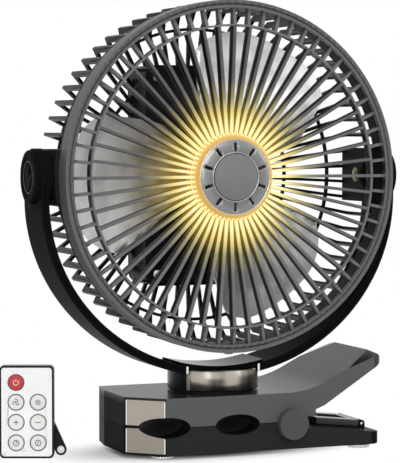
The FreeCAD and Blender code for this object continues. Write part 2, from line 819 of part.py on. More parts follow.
def lens_solid(x, grow, half_width):
    """Oval bar across the clip, centred on the seam."""
    oval = Part.Ellipse(Vector(0, 0, 0), lens_length / 2 + grow, lens_height / 2 + grow).toShape()
    oval.rotate(Vector(0, 0, 0), Vector(1, 0, 0), 90)
    oval.translate(Vector(x, -half_width, seam_level))
    return Part.Face(Part.Wire([oval])).extrude(Vector(0, 2 * half_width, 0))


def grip_space():
    low = nose_corner - 12.5
    high = hinge_x - 15.5
    bar = box(low, high, -grip_half_width, grip_half_width, seam_level - grip_thick,
              seam_level + grip_thick)
    lenses = [lens_solid(x, grip_thick, grip_half_width) for x in lens_x]
    keep = box(low, high, -HUGE, HUGE, 0, HUGE)
    return fuse_all([bar] + lenses).common(keep)


def lens_cuts():
    return [lens_solid(x, 0.0, clip_half_width + 5) for x in lens_x]


def chamfer_plate(start, end, deep, proud, z0, z1):
    """Plate on the nose's cut corner between two shares of its length."""
    ax, ay = nose_corner, -clip_half_width
    bx, by = nose_front, -nose_half_width
    length = math.hypot(bx - ax, by - ay)
    nx, ny = (by - ay) / -length, (bx - ax) / length
    points = []
    for share, out in ((start, proud), (end, proud), (end, -deep), (start, -deep)):
        points.append((ax + (bx - ax) * share + nx * out, ay + (by - ay) * share + ny * out))
    return plan_prism(points, z0, z1)


def upper_panel(gap):
    return chamfer_plate(0.04, 0.93, panel_depth + gap, 1.0 if gap else 0.2,
                         seam_level + 1.0 - gap, clip_top - 1.6 + gap)


def lower_panel(gap):
    return chamfer_plate(0.04, 0.93, panel_depth + gap, 1.0 if gap else 0.2,
                         foot_tall + 1.2 - gap, seam_level - 1.0 + gap)


def foot_places():
    return [(x, sy * 29.0) for x in (nose_corner + 1.5, cavity_end - 7.5) for sy in (-1, 1)]


def base_screw_places():
    return [(x, sy * 29.0) for x in (nose_corner + 14, hinge_x + 26) for sy in (-1, 1)]


def tail_level(x):
    return tail_root_level + (tail_end_level - tail_root_level) * (x - hinge_x) / (tail_end - hinge_x)


def make_lower_jaw():
    low = foot_tall
    top = seam_level - swing / 2
    body = plan_prism(clip_plan(0, tail_end), low, top)
    corners = [e for e in body.Edges if abs(e.CenterOfMass.x - tail_end) < 0.01
               and abs(e.tangentAt(e.FirstParameter).z) > 0.9]
    body = body.makeFillet(tail_round, corners)
    above = side_prism([(hinge_x, tail_level(hinge_x)), (tail_end + 5, tail_level(tail_end + 5)),
                        (tail_end + 5, HUGE), (hinge_x, HUGE)], -HUGE, HUGE)
    cavity = plan_prism(clip_plan(jaw_shell, cavity_end), low - 1, jaw_cavity_top)
    spring_room = along_y(spring_radius + spring_wire + 1.2, hinge_x, hinge_z, -lug_low + 0.2, lug_low - 0.2)
    leg_room = box(hinge_x - 1, hinge_x + 13, -lug_low + 0.2, lug_low - 0.2, 11.8, HUGE)
    ear_room = [along_y(lug_radius + swing, hinge_x, hinge_z, y0, y1)
                for y0, y1 in ((-HUGE, -lug_high - swing), (lug_high + swing, HUGE))]
    body = body.cut([above, cavity, spring_room, leg_room] + ear_room)
    lugs = [along_y(lug_radius, hinge_x, hinge_z, y0, y1)
            for y0, y1 in ((-lug_high, -lug_low), (lug_low, lug_high))]
    posts = [rod(3.6, (x, y, low + 2.2), (0, 0, 1), jaw_cavity_top - low - 1.2)
             for x, y in base_screw_places()]
    hook_z = hook_level()
    ears = []
    for sign in (-1, 1):
        y0, y1 = sorted((sign * 14.4, sign * (hook_half_width - 0.4)))
        ears.append(along_y(hook_barrel, hook_x, hook_z, y0, y1))
        ears.append(box(hook_x - hook_barrel, hook_x + hook_barrel, y0, y1, tail_level(hook_x) - 1, hook_z))
    body = fuse_all([body] + lugs + posts + ears)
    cuts = lens_cuts() + [grip_space(), lower_panel(seat)]
    cuts.append(along_y(hinge_pin_radius + 0.03, hinge_x, hinge_z, -HUGE, HUGE))
    cuts.append(along_y(hook_pin_radius + 0.03, hook_x, hook_z, -hook_half_width, hook_half_width))
    cuts += [rod(1.5, (x, y, 0), (0, 0, 1), 9.5) for x, y in base_screw_places()]
    return body.cut(cuts)


def make_base_plate():
    plate = plan_prism(clip_plan(jaw_shell + slip, cavity_end), foot_tall, foot_tall + 2.0)
    cuts = [rod(1.6, (x, y, 0), (0, 0, 1), 10) for x, y in base_screw_places()]
    cuts += [rod(3.0, (x, y, 0), (0, 0, 1), foot_tall + 1.4) for x, y in base_screw_places()]
    cuts += [rod(3.05, (x, y, 0), (0, 0, 1), 10) for x, y in foot_places()]
    return plate.cut(cuts)


def make_feet():
    feet = []
    for x, y in foot_places():
        disc = rod(foot_radius, (x, y, 0), (0, 0, 1), foot_tall - 0.05)
        edges = [e for e in disc.Edges if abs(e.CenterOfMass.z) < 0.01]
        disc = disc.makeChamfer(0.5, edges)
        feet.append(disc.fuse(rod(3.0, (x, y, foot_tall - 1), (0, 0, 1), 3.4)))
    return Part.makeCompound(feet)


def make_base_screws():
    screws = []
    for x, y in base_screw_places():
        head = rod(2.7, (x, y, foot_tall + 0.2), (0, 0, 1), 1.1)
        screws.append(head.fuse(rod(1.4, (x, y, foot_tall + 0.4), (0, 0, 1), 6.0)))
    return Part.makeCompound(screws)


def handle_outline():
    """Side view of the upper jaw: flat top that bends up into the squeeze handle."""
    slope = math.radians(handle_angle)
    run = handle_blend * math.tan(slope / 2)
    x1 = handle_start - run
    x2 = handle_start + run * math.cos(slope)
    z2 = clip_top + run * math.sin(slope)
    mid_angle = slope / 2
    arc_mid = (x1 + handle_blend * math.sin(mid_angle), clip_top + handle_blend * (1 - math.cos(mid_angle)))
    end_z = clip_top + (handle_end - handle_start) * math.tan(slope)
    low = seam_level + swing / 2
    knuckle = seam_level + 2.9
    y = -clip_half_width - 1

    def at(x, z):
        return Vector(x, y, z)

    under = [at(handle_end + 5.5, end_z - 5.0), at(handle_end + 3.4, end_z - 8.4),
             at(handle_end - 3.2, end_z - 12.0), at(63.8, 30.8), at(57.3, 28.2), at(57.3, knuckle),
             at(hinge_x, knuckle), at(hinge_x, low), at(nose_front - 5, low), at(nose_front - 5, clip_top),
             at(x1, clip_top)]
    edges = [Part.Arc(at(x1, clip_top), at(*arc_mid), at(x2, z2)).toShape(),
             Part.makeLine(at(x2, z2), at(handle_end, end_z)),
             Part.makeLine(at(handle_end, end_z), under[0])]
    edges += [Part.makeLine(under[i], under[i + 1]) for i in range(len(under) - 1)]
    return Part.Face(Part.Wire(edges)).extrude(Vector(0, 2 * clip_half_width + 2, 0))


def handle_bevel():
    """Pyramid that slopes the handle's top off towards its long edge."""
    x = handle_end + 11
    z = clip_top + (x - handle_start) * math.tan(math.radians(handle_angle))
    half = clip_half_width
    apex = (44.0, half + 0.5, clip_top + 0.6)
    base = [(x, 17.0, z), (x, half + 3, z - 5.2), (x, half + 3, z + 25), (x, 17.0, z + 25)]
    faces = [outline_face([apex, base[i], base[(i + 1) % 4]]) for i in range(4)]
    faces.append(outline_face(base))
    return Part.makeSolid(Part.makeShell(faces))


def make_upper_jaw():
    plan = plan_prism(clip_plan(0, handle_end + 5.5), 0, HUGE)
    corners = [e for e in plan.Edges if abs(e.CenterOfMass.x - handle_end - 5.5) < 0.01
               and abs(e.tangentAt(e.FirstParameter).z) > 0.9]
    body = handle_outline().common(plan.makeFillet(9.0, corners))
    bevel = handle_bevel()
    pocket = box(hinge_x - 12.4, hinge_x + 14.1, -lug_high - swing, lug_high + swing, 0,
                 hinge_z + 11.2)
    nut_room = rod(8.2, (0, 0, seam_level), (0, 0, 1), clip_top - nut_drop + nut_tall + seat - seam_level)
    body = body.cut([bevel, mirrored(bevel, (0, 1, 0)), pocket, nut_room])
    ears = [along_y(lug_radius, hinge_x, hinge_z, y0, y1).common(box(0, 80, -HUGE, HUGE, 0, 60))
            for y0, y1 in ((-clip_half_width, -lug_high - swing), (lug_high + swing, clip_half_width))]
    body = fuse_all([body] + ears)
    cuts = lens_cuts() + [grip_space(), upper_panel(seat)]
    cuts.append(along_y(hinge_pin_radius + running, hinge_x, hinge_z, -HUGE, HUGE))
    cuts.append(rod(swivel_radius + 0.03, (0, 0, 25), (0, 0, 1), 50))
    return body.cut(cuts)


def make_grip_pad(sign):
    gap = swing / 2
    low, high = sorted((seam_level + sign * gap, seam_level + sign * 20))
    half = box(-HUGE, HUGE, -grip_half_width + seat, grip_half_width - seat, low, high)
    bar = box(nose_corner - 12.4, hinge_x - 15.6, -HUGE, HUGE, 0, HUGE)
    return grip_space().common(half).common(bar).cut(lens_cuts())


def make_clip_pins():
    """The jaws' hinge pin and the hook's thin pin."""
    reach = clip_half_width + 3.0
    short = hook_half_width - 0.5
    return Part.makeCompound([along_y(hinge_pin_radius, hinge_x, hinge_z, -reach, reach),
                              along_y(hook_pin_radius, hook_x, hook_level(), -short, short)])


def make_hinge_caps():
    near = clip_half_width + swing
    far = clip_half_width + hinge_cap_proud
    cap = along_y(hinge_cap_radius, hinge_x, hinge_z, near, far)
    edges = [e for e in cap.Edges if abs(e.CenterOfMass.y - far) < 0.01]
    cap = cap.makeChamfer(0.6, edges)
    cap = cap.cut([along_y(hinge_pin_radius + 0.03, hinge_x, hinge_z, 0, clip_half_width + 3.1),
                   along_y(1.2, hinge_x, hinge_z, far - 0.5, far + 1)])
    return both_sides(cap, (0, 1, 0))


def make_jaw_spring():
    height = spring_turns * spring_pitch
    helix = Part.makeHelix(spring_pitch, height, spring_radius)
    slope = spring_pitch / (2 * math.pi * spring_radius)
    circle = Part.Wire([Part.makeCircle(spring_wire, Vector(spring_radius, 0, 0), Vector(0, 1, slope))])
    coil = Part.Wire(helix.Edges).makePipeShell([circle], True, True)
    coil.rotate(Vector(0, 0, 0), Vector(1, 0, 0), -90)
    coil.translate(Vector(hinge_x, -height / 2, hinge_z))
    return coil


def hook_level():
    return tail_level(hook_x) + hook_barrel + swing


def make_hang_hook():
    """Folding loop that lies on the tail and swings out round its pin."""
    z = hook_level()
    half = hook_half_width
    plate = box(hook_x - hook_length, hook_x, -half, half, z - hook_barrel + 0.1, z - hook_barrel + hook_thick)
    notch = [box(hook_x - hook_barrel - 0.6, hook_x + 5, y0, y1, 0, HUGE)
             for y0, y1 in ((-half - 1, -14.0), (14.0, half + 1))]
    window = box(hook_x - hook_length + 5.5, hook_x - 7.5, -9, 9, 0, HUGE)
    barrel = along_y(hook_barrel, hook_x, z, -14.0, 14.0)
    trim = box(hook_x, hook_x + 10, -half, half, 0, HUGE)
    loop = fuse_all([plate.cut(notch + [window, trim]), barrel])
    loop = loop.cut(along_y(hook_pin_radius + running, hook_x, z, -HUGE, HUGE))
    slope = math.degrees(math.atan2(tail_root_level - tail_end_level, tail_end - hinge_x))
    loop.rotate(Vector(hook_x, 0, z), Vector(0, 1, 0), slope)
    return loop


# Remote, made facing -Y at the origin and then turned to its place

def place_remote(shape):
    shape.rotate(Vector(0, 0, 0), Vector(0, 0, 1), remote_turn)
    shape.translate(Vector(remote_x, remote_y, 0))
    return shape


def remote_key_places():
    """Name and place of each key, the red one first."""
    places = [("power", remote_columns[0], remote_rows[0])]
    names = ("fan", "light", "speed_up", "speed_down", "timer_short", "timer_long")
    for index, name in enumerate(names):
        places.append((name, remote_columns[index % 2], remote_rows[1 + index // 2]))
    return places


def remote_block(inset, y0, y1, corner):
    half = remote_width / 2 - inset
    block = box(-half, half, y0, y1, inset, remote_height - inset)
    edges = [e for e in block.Edges if abs(e.tangentAt(e.FirstParameter).y) > 0.9]
    return block.makeFillet(corner, edges)


def make_remote_case():
    half = remote_thick / 2
    case = remote_block(0, -half, half, 3.0)
    case = case.cut(remote_block(remote_frame, -half - 1, half - 1.6, 2.0))
    rail = box(-remote_width / 2 + 1, remote_width / 2 - 1, 0.7, half - 0.5, 26.6, 28.0)
    tray_mouth = box(-remote_width, -remote_width / 2 + 3, 0.6, half - 1.5, 2.4, 26.4)
    x, z = tab_pivot
    stud = along_y(1.0, x, z, half - 1.0, half + swing + tab_thick + 0.3)
    button = along_y(2.0, x, z, half + swing + tab_thick + 0.1, half + swing + tab_thick + 0.8)
    return place_remote(fuse_all([case.cut(tray_mouth), rail, stud, button]))


def make_remote_face():
    half = remote_thick / 2
    face = remote_block(remote_frame + 0.1, -half, -half + 1.4, 1.9)
    holes = [along_y(remote_key_radius + slip, x, z, -half - 1, -half + 3)
             for _, x, z in remote_key_places()]
    return place_remote(face.cut(holes))


def make_remote_key(x, z):
    half = remote_thick / 2
    cap = along_y(remote_key_radius, x, z, -half - remote_key_proud, -half + 1.6)
    edges = [e for e in cap.Edges if abs(e.CenterOfMass.y + half + remote_key_proud) < 0.01]
    cap = cap.makeFillet(0.3, edges)
    flange = along_y(remote_key_radius + 0.8, x, z, -half + 1.5, -half + 2.1)
    stem = along_y(1.5, x, z, -half + 2.0, -0.8)
    return place_remote(fuse_all([cap, flange, stem]))


def make_remote_board():
    board = remote_block(remote_frame + seat, -0.8 + remote_key_travel + 0.1, 0.5, 2.0)
    lamp = rod(1.0, (0, -1.25, remote_height - remote_frame - 2.6), (0, 0, 1), 2.4)
    return place_remote(Part.makeCompound([board, lamp]))


def make_remote_tray():
    half = remote_thick / 2
    tray = box(-remote_width / 2 + 0.1, 12.0, 0.7, half - 1.7, 2.6, 26.2)
    tray = tray.cut(along_y(10.2, 0.0, 14.4, 0.9, half + 1))
    cell = along_y(10.0, 0.0, 14.4, 0.95, half - 1.8)
    return place_remote(Part.makeCompound([tray, cell]))


def make_remote_tab():
    """Swing-out hanging tab behind the case, with an eyelet at its end."""
    half = remote_thick / 2
    y0, y1 = half + swing, half + swing + tab_thick
    px, pz = tab_pivot
    tx, tz = tab_tip
    length = math.hypot(tx - px, tz - pz)
    nx, nz = (tz - pz) / length, (px - tx) / length
    r = tab_radius
    web = side_prism([(px + nx * r, pz + nz * r), (tx + nx * r, tz + nz * r),
                      (tx - nx * r, tz - nz * r), (px - nx * r, pz - nz * r)], y0, y1)
    tab = fuse_all([web, along_y(r, px, pz, y0, y1), along_y(r, tx, tz, y0, y1)])
    tab = tab.cut([along_y(1.06, px, pz, 0, 20), along_y(1.8, tx, tz, 0, 20)])
    return place_remote(Part.makeCompound([tab, tab_eyelet()]))


def tab_eyelet():
    y0 = remote_thick / 2 + swing
    x, z = tab_tip
    tube = ring_y(1.75, 0.7, x, z, y0, y0 + tab_thick + 0.1)
    return tube.fuse(ring_y(2.3, 0.7, x, z, y0 - 0.25, y0 - 0.02))


def all_parts():
    parts = {
        "front_grille": make_front_grille(),
        "rim_screw": make_rim_screw(),
        "light_board": make_light_board(),
        "light_chips": make_light_chips(),
        "light_diffuser": make_light_diffuser(),
        "hub_cap": make_hub_cap(),
        "hub_badge": make_hub_badge(),
        "rear_grille": make_rear_grille(),
        "rear_cover": make_rear_cover(),
        "cover_screws": make_cover_screws(),
        "battery_cells": make_battery_cells(),
        "control_board": make_control_board(),
        "speed_key": make_rear_key(-key_spacing / 2),
        "light_key": make_rear_key(key_spacing / 2),
        "charge_window": make_charge_window(),
        "power_ports": make_power_ports(),
        "port_flap": make_port_flap(),
        "motor_plate": make_motor_plate(),
        "motor_screws": make_motor_screws(),
        "motor_can": make_motor_can(),
        "motor_bearings": make_motor_bearings(),
        "motor_shaft": make_motor_shaft(),
        "blade_nut": make_blade_nut(),
        "fan_blade": make_fan_blade(),
        "yoke": make_yoke(),
        "yoke_pad": make_yoke_pad(),
        "neck_collar": make_neck_collar(),
        "collar_trims": make_collar_trims(),
        "swivel_bolt": make_swivel_bolt(),
        "swivel_nut": make_swivel_nut(),
        "neck_washer": make_neck_washer(),
        "pivot_screws": make_pivot_screws(),
        "pivot_bushes": make_pivot_bushes(),
        "friction_washers": make_friction_washers(),
        "pivot_caps": make_pivot_caps(),
        "lower_jaw": make_lower_jaw(),
        "base_plate": make_base_plate(),
        "feet": make_feet(),
        "base_screws": make_base_screws(),
        "upper_jaw": make_upper_jaw(),
        "upper_grip_pad": make_grip_pad(1),
        "lower_grip_pad": make_grip_pad(-1),
        "upper_corner_panel": upper_panel(0).cut(lens_cuts()),
        "lower_corner_panel": lower_panel(0).cut(lens_cuts()),
        "clip_pins": make_clip_pins(),
        "hinge_caps": make_hinge_caps(),
        "jaw_spring": make_jaw_spring(),
        "hang_hook": make_hang_hook(),
        "remote_case": make_remote_case(),
        "remote_face": make_remote_face(),
        "remote_board": make_remote_board(),
        "remote_tray": make_remote_tray(),
        "remote_tab": make_remote_tab(),
    }
    for name, x, z in remote_key_places():
        parts["remote_key_" + name] = make_remote_key(x, z)
    return parts


os.makedirs("parts", exist_ok=True)
for name, shape in all_parts().items():
    shape.exportStep(os.path.join("parts", name + ".step"))
    print(name, len(shape.Solids), "solids", round(shape.Volume), "mm3", shape.isValid())
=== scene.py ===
import json
import math

import bmesh
import bpy
import numpy as np
from bpy.props import FloatProperty, FloatVectorProperty, IntProperty, PointerProperty
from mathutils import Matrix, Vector


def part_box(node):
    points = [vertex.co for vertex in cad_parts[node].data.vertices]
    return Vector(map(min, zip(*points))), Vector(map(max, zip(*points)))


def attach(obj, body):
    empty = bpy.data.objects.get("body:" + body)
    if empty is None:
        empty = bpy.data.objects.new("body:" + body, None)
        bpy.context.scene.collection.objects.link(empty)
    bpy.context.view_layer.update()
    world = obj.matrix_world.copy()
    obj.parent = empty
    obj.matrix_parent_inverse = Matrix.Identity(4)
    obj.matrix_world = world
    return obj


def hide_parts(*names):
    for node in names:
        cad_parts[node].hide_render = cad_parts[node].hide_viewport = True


bl_info = {
    "name": "Clip-on Fan",
    "version": (1, 0, 0),
    "blender": (4, 5, 0),
    "location": "3D View > Sidebar > Fan",
    "description": "Dresses the clip-on fan, its ring light and its remote",
    "category": "Object",
}

# Metres throughout. The fan blows towards -Y and stands on z = 0.
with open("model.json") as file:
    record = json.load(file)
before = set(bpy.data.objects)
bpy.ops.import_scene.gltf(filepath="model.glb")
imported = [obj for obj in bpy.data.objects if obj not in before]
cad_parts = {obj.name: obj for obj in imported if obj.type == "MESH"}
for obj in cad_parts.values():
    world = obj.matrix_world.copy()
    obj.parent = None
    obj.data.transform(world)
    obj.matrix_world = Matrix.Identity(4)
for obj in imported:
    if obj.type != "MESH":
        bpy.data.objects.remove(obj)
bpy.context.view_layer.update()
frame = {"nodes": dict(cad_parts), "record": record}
MM = 0.001


def low(node):
    """Lowest corner of a CAD node's box."""
    return np.array(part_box(node)[0])


def high(node):
    """Highest corner of a CAD node's box."""
    return np.array(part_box(node)[1])


def middle(node):
    """Middle of a CAD node's box."""
    return (low(node) + high(node)) / 2


def face_middle(node, directions):
    """Middle of the face of a CAD node that looks outwards.

    The node's points are taken along (across, up, out). The spot is the middle of
    their reach across and up, and the whole of their reach out.
    """
    basis = np.array(directions, float)
    reach = np.array([corner.co for corner in frame["nodes"][node].data.vertices]) @ basis.T
    spot = (reach.min(0) + reach.max(0)) / 2
    spot[2] = reach[:, 2].max()
    return spot @ basis


HEAD_Z = float(middle("hub_badge")[2])
GRILLE_FRONT = float(low("front_grille")[1])
COVER_BACK = float(high("rear_cover")[1])
MIDDLE_RING = 98.2 * MM  # radius of the front grille's middle ring
ROOT_DROP = 5.8 * MM  # how much deeper the spokes' front edge lies at the hub
SPOKES = 56  # inner spokes, from the hub to the middle ring
CAP_SLOTS = 10
KEY_NAMES = ("power", "fan", "light", "speed_up", "speed_down", "timer_short", "timer_long")
REMOTE_TURN = math.radians(-21.4)
EYELET = (-105.98 * MM, -0.24 * MM, 4.5 * MM)  # middle of the tab's eyelet

# Radii of the thin rings that are laid on the pieces, and the height of the symbols
CAP_GROOVE_RING = 15.75 * MM
PIVOT_CAP_RING = 10.2 * MM
BACK_KEY_RING = 7.0 * MM
REMOTE_KEY_RING = 5.2 * MM
SYMBOL_HEIGHT = 0.12 * MM

# Angles in degrees past which a new piece and a copy of a solid show a crease
PIECE_CREASE = 40
SOLID_CREASE = 32

# How deep the texture of a surface goes in its bump
MOULD_DEPTH = 0.12 * MM
SKIN_DEPTH = 0.1 * MM
LINE_DEPTH = 0.05 * MM

# Colours that more than one piece has
UNLIT = (0.0, 0.0, 0.0)
ZINC = (0.5, 0.5, 0.52)
BOARD_GREEN = (0.012, 0.10, 0.04)
BLACK = (0.012, 0.012, 0.013)

CAMERA_LENS = 162.24
CAMERA_SPOT = (-0.5117, -1.2822, 0.2140)
CAMERA_TURN = math.radians(-21.412)
CAMERA_DROP = math.radians(2.883)


# Surfaces on grids

def grid_faces(rows, columns, close_rows=False, close_columns=False):
    """Four corners of every cell of a grid, whose last line may join its first."""
    index = np.arange(rows * columns).reshape(rows, columns)
    if close_rows:
        index = np.vstack([index, index[:1]])
    if close_columns:
        index = np.hstack([index, index[:, :1]])
    corners = [index[:-1, :-1], index[:-1, 1:], index[1:, 1:], index[1:, :-1]]
    return np.stack(corners, -1).reshape(-1, 4)


def revolve(profile, centre, axis, count, ripple=0.0, ripples=0):
    """A (radius, height) profile turned about an axis through the centre.

    Point = centre + height * axis + radius * (cos(turn) * side + sin(turn) * other).
    The radius is multiplied by 1 + ripple * share * cos(ripples * turn), where the
    share is the profile's third column.
    """
    profile = np.asarray(profile, float)
    axis = np.asarray(axis, float) / np.linalg.norm(axis)
    side = np.cross(axis, [0.0, 0.0, 1.0] if abs(axis[2]) < 0.9 else [1.0, 0.0, 0.0])
    side /= np.linalg.norm(side)
    other = np.cross(axis, side)
    turn = np.linspace(0, 2 * math.pi, count, endpoint=False)[:, None]
    share = profile[:, 2] if profile.shape[1] > 2 else np.zeros(len(profile))
    radius = profile[:, 0] * (1 + ripple * share * np.cos(ripples * turn))
    spots = np.asarray(centre) + profile[None, :, 1, None] * axis
    spots = spots + (radius * np.cos(turn))[..., None] * side
    spots = spots + (radius * np.sin(turn))[..., None] * other
    return spots, grid_faces(count, len(profile), close_rows=True)


def ring(centre, axis, radius, thick, count, sides=10, flat=1.0):
    """A torus: a small circle of this thickness, flattened along the axis, turned about it."""
    turn = np.linspace(0, 2 * math.pi, sides, endpoint=False)
    profile = np.stack([radius + thick * np.cos(turn), flat * thick * np.sin(turn)], -1)
    spots, _ = revolve(profile, centre, axis, count)
    return spots, grid_faces(count, sides, True, True)


def drawn_out(points):
    """The points with both ends doubled, and a share of the thickness that is 0 at the new ends."""
    points = np.asarray(points, float)
    share = np.ones(len(points) + 2)
    share[[0, -1]] = 0.0
    return np.vstack([points[:1], points, points[-1:]]), share


def stroke(path, width, height):
    """A drawn line with a rounded top, as (across, up, out of the face) points.

    Each point of the path is moved sideways by the section's share of the width and
    outwards by its share of the height. The ends shrink to a point.
    """
    path, share = drawn_out(path)
    heading = np.gradient(path, axis=0)
    heading /= np.linalg.norm(heading, axis=1)[:, None] + 1e-12
    across = np.stack([-heading[:, 1], heading[:, 0]], -1)
    section = np.array([(-1, 0), (-1, 0.6), (-0.6, 1), (0.6, 1), (1, 0.6), (1, 0)], float)
    aside = (section[:, 0] * width / 2)[None, :, None]
    flat = path[:, None] + across[:, None] * aside * share[:, None, None]
    up = np.broadcast_to(section[:, 1] * height, flat.shape[:2]) * share[:, None]
    return np.concatenate([flat, up[..., None]], -1), grid_faces(len(path), len(section))


def arc(centre, radius, start, end, count):
    """Points of a circle's arc between two angles in degrees."""
    turn = np.radians(np.linspace(start, end, count))
    return np.stack([centre[0] + radius * np.cos(turn), centre[1] + radius * np.sin(turn)], -1)


def line(start, end, count=4):
    """Evenly spaced points from start to end: start * (1 - share) + end * share."""
    share = np.linspace(0, 1, count)[:, None]
    return np.asarray(start, float) * (1 - share) + np.asarray(end, float) * share


def laid_on(patch, origin, directions):
    """The same patch with its three columns taken along these directions from the origin."""
    spots, faces = patch
    return spots.reshape(-1, 3) @ np.array(directions, float) + origin, faces


def bar(path, radius, across, sides=12):
    """A round bar along a straight path. Its ends shrink to a point.

    Point = path point + radius * (cos(turn) * across + sin(turn) * outwards), and
    outwards is square to both the path and the across direction.
    """
    rows, share = drawn_out(path)
    heading = rows[-1] - rows[0]
    across = np.asarray(across, float) / np.linalg.norm(across)
    outwards = np.cross(heading / np.linalg.norm(heading), across)
    turn = np.linspace(0, 2 * math.pi, sides, endpoint=False)
    circle = np.cos(turn)[:, None] * across + np.sin(turn)[:, None] * outwards
    spots = rows[:, None] + radius * share[:, None, None] * circle[None]
    return spots, grid_faces(len(rows), sides, False, True)


def make_piece(name, patches, body, paint):
    """One welded object from (points, faces) patches, riding on a body."""
    spots, faces, start = [], [], 0
    for points, cells in patches:
        points = np.asarray(points).reshape(-1, 3)
        spots.append(points)
        faces.append(cells + start)
        start += len(points)
    mesh = bpy.data.meshes.new(name)
    mesh.from_pydata(np.concatenate(spots).tolist(), [], np.concatenate(faces).tolist())
    weld(mesh, recalculate=True)
    return finish_piece(name, mesh, body, paint, PIECE_CREASE)


def weld(mesh, recalculate=False):
    """Merges the mesh's doubled points and, for a new piece, turns its faces outwards."""
    shape = bmesh.new()
    shape.from_mesh(mesh)
    bmesh.ops.remove_doubles(shape, verts=shape.verts, dist=1e-7 if recalculate else 1e-6)
    bmesh.ops.dissolve_degenerate(shape, edges=shape.edges, dist=1e-8)
    if recalculate:
        bmesh.ops.recalc_face_normals(shape, faces=shape.faces)
    shape.to_mesh(mesh)
    shape.free()


def finish_piece(name, mesh, body, paint, crease):
    """An object of this mesh and material, attached to its body."""
    mesh.materials.clear()
    mesh.materials.append(paint.material)
    mesh.shade_smooth()
    mesh.set_sharp_from_angle(angle=math.radians(crease))
    piece = bpy.data.objects.new(name, mesh)
    bpy.context.scene.collection.objects.link(piece)
    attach(piece, body)
    return piece


def body_of(node):
    """Body that a CAD node moves with."""
    bodies = frame["record"]["behaviour"]["bodies"]
    return next(body for body, nodes in bodies.items() if node in nodes)


def refine(nodes, paint, edge=0.0):
    """Welded copies of solids with smooth curves and, where an edge size is given, rounded edges."""
    for node in nodes:
        mesh = frame["nodes"][node].data.copy()
        weld(mesh)
        if edge:
            shape = bmesh.new()
            shape.from_mesh(mesh)
            bmesh.ops.dissolve_limit(shape, angle_limit=math.radians(0.4),
                                     verts=shape.verts, edges=shape.edges)
            shape.to_mesh(mesh)
            shape.free()
        piece = finish_piece(node + "_finish", mesh, body_of(node), paint,
                             SOLID_CREASE)
        if edge:
            rounding = piece.modifiers.new("Rounded edges", "BEVEL")
            rounding.width = edge
            rounding.segments = 2
            rounding.limit_method = "ANGLE"
            rounding.angle_limit = math.radians(38)
            rounding.harden_normals = True
        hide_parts(node)


# Shader building

class Wire:
    """An output socket. Arithmetic on it adds Math nodes to its own material."""

    def __init__(self, paint, socket):
        self.paint = paint
        self.socket = socket

    def maths(self, operation, *others):
        """A Math node on this value and the others."""
        return self.paint.node("Math", {"operation": operation}, [self, *others])

    def __add__(self, other):
        return self.maths("ADD", other)

    def __sub__(self, other):
        return self.maths("SUBTRACT", other)

    def __rsub__(self, other):
        return self.paint.node("Math", {"operation": "SUBTRACT"}, [other, self])

    def __mul__(self, other):
        return self.maths("MULTIPLY", other)

    def __truediv__(self, other):
        return self.maths("DIVIDE", other)

    def __pow__(self, other):
        return self.maths("POWER", other)

    __radd__ = __add__
    __rmul__ = __mul__

    def size(self):
        """The value without its sign."""
        return self.maths("ABSOLUTE")

    def between(self, start, end):
        """0 before start, 1 after end, and a soft step from one to the other."""
        settings = {"interpolation_type": "SMOOTHSTEP"}
        inputs = {"Value": self, "From Min": start, "From Max": end}
        return self.paint.node("MapRange", settings, inputs)


class Paint:
    """One material, with the nodes that feed its surface shader."""

    def __init__(self, name, **constants):
        self.material = bpy.data.materials.new(name)
        self.material.use_nodes = True
        self.tree = self.material.node_tree
        self.shader = self.tree.nodes["Principled BSDF"]
        for socket, value in constants.items():
            self.shader.inputs[socket.replace("_", " ")].default_value = value

    def node(self, kind, settings, inputs, output=0):
        """A node of this type: its settings first, then the values or links of its sockets."""
        made = self.tree.nodes.new("ShaderNode" + kind)
        for name, value in settings.items():
            if name == "stops":
                for spot, (place, colour) in enumerate(value):
                    elements = made.color_ramp.elements
                    element = elements[spot] if spot < len(elements) else elements.new(place)
                    element.position, element.color = place, (*colour, 1)
            else:
                setattr(made, name, value)
        pairs = inputs.items() if isinstance(inputs, dict) else enumerate(inputs)
        for key, value in pairs:
            if isinstance(value, Wire):
                self.tree.links.new(value.socket, made.inputs[key])
            else:
                made.inputs[key].default_value = value
        return Wire(self, made.outputs[output])

    def feed(self, **wires):
        """Links values to the surface shader's sockets."""
        for socket, wire in wires.items():
            self.tree.links.new(wire.socket, self.shader.inputs[socket.replace("_", " ")])
        return self

    def place(self, centre=(0, 0, 0), stretch=(1, 1, 1)):
        """Object coordinates about the centre. A larger stretch squeezes a pattern along its axis."""
        spot = self.node("TexCoord", {}, {}, "Object")
        moved = self.node("VectorMath", {"operation": "SUBTRACT"}, [spot, tuple(centre)])
        return self.node("VectorMath", {"operation": "MULTIPLY"}, [moved, tuple(stretch)])

    def noise(self, spot, scale, detail):
        return self.node("TexNoise", {}, {"Vector": spot, "Scale": scale, "Detail": detail})

    def parts(self, spot):
        """The three numbers of a vector."""
        return [self.node("SeparateXYZ", {}, [spot], axis) for axis in "XYZ"]

    def mix(self, share, first, second):
        """The first colour where the share is 0, the second where it is 1."""
        inputs = {0: share, 6: tint(first), 7: tint(second)}
        return self.node("Mix", {"data_type": "RGBA"}, inputs, 2)

    def bump(self, height, strength, distance):
        inputs = {"Height": height, "Strength": strength, "Distance": distance}
        return self.node("Bump", {}, inputs)


def tint(colour):
    """A colour as a socket takes it: a link as it is, three numbers with a fourth of 1."""
    return colour if isinstance(colour, Wire) else (*tuple(colour)[:3], 1.0)


def times(colour, factor):
    """A colour made lighter or darker, with no part past 1."""
    return tuple(min(part * factor, 1.0) for part in tuple(colour)[:3])


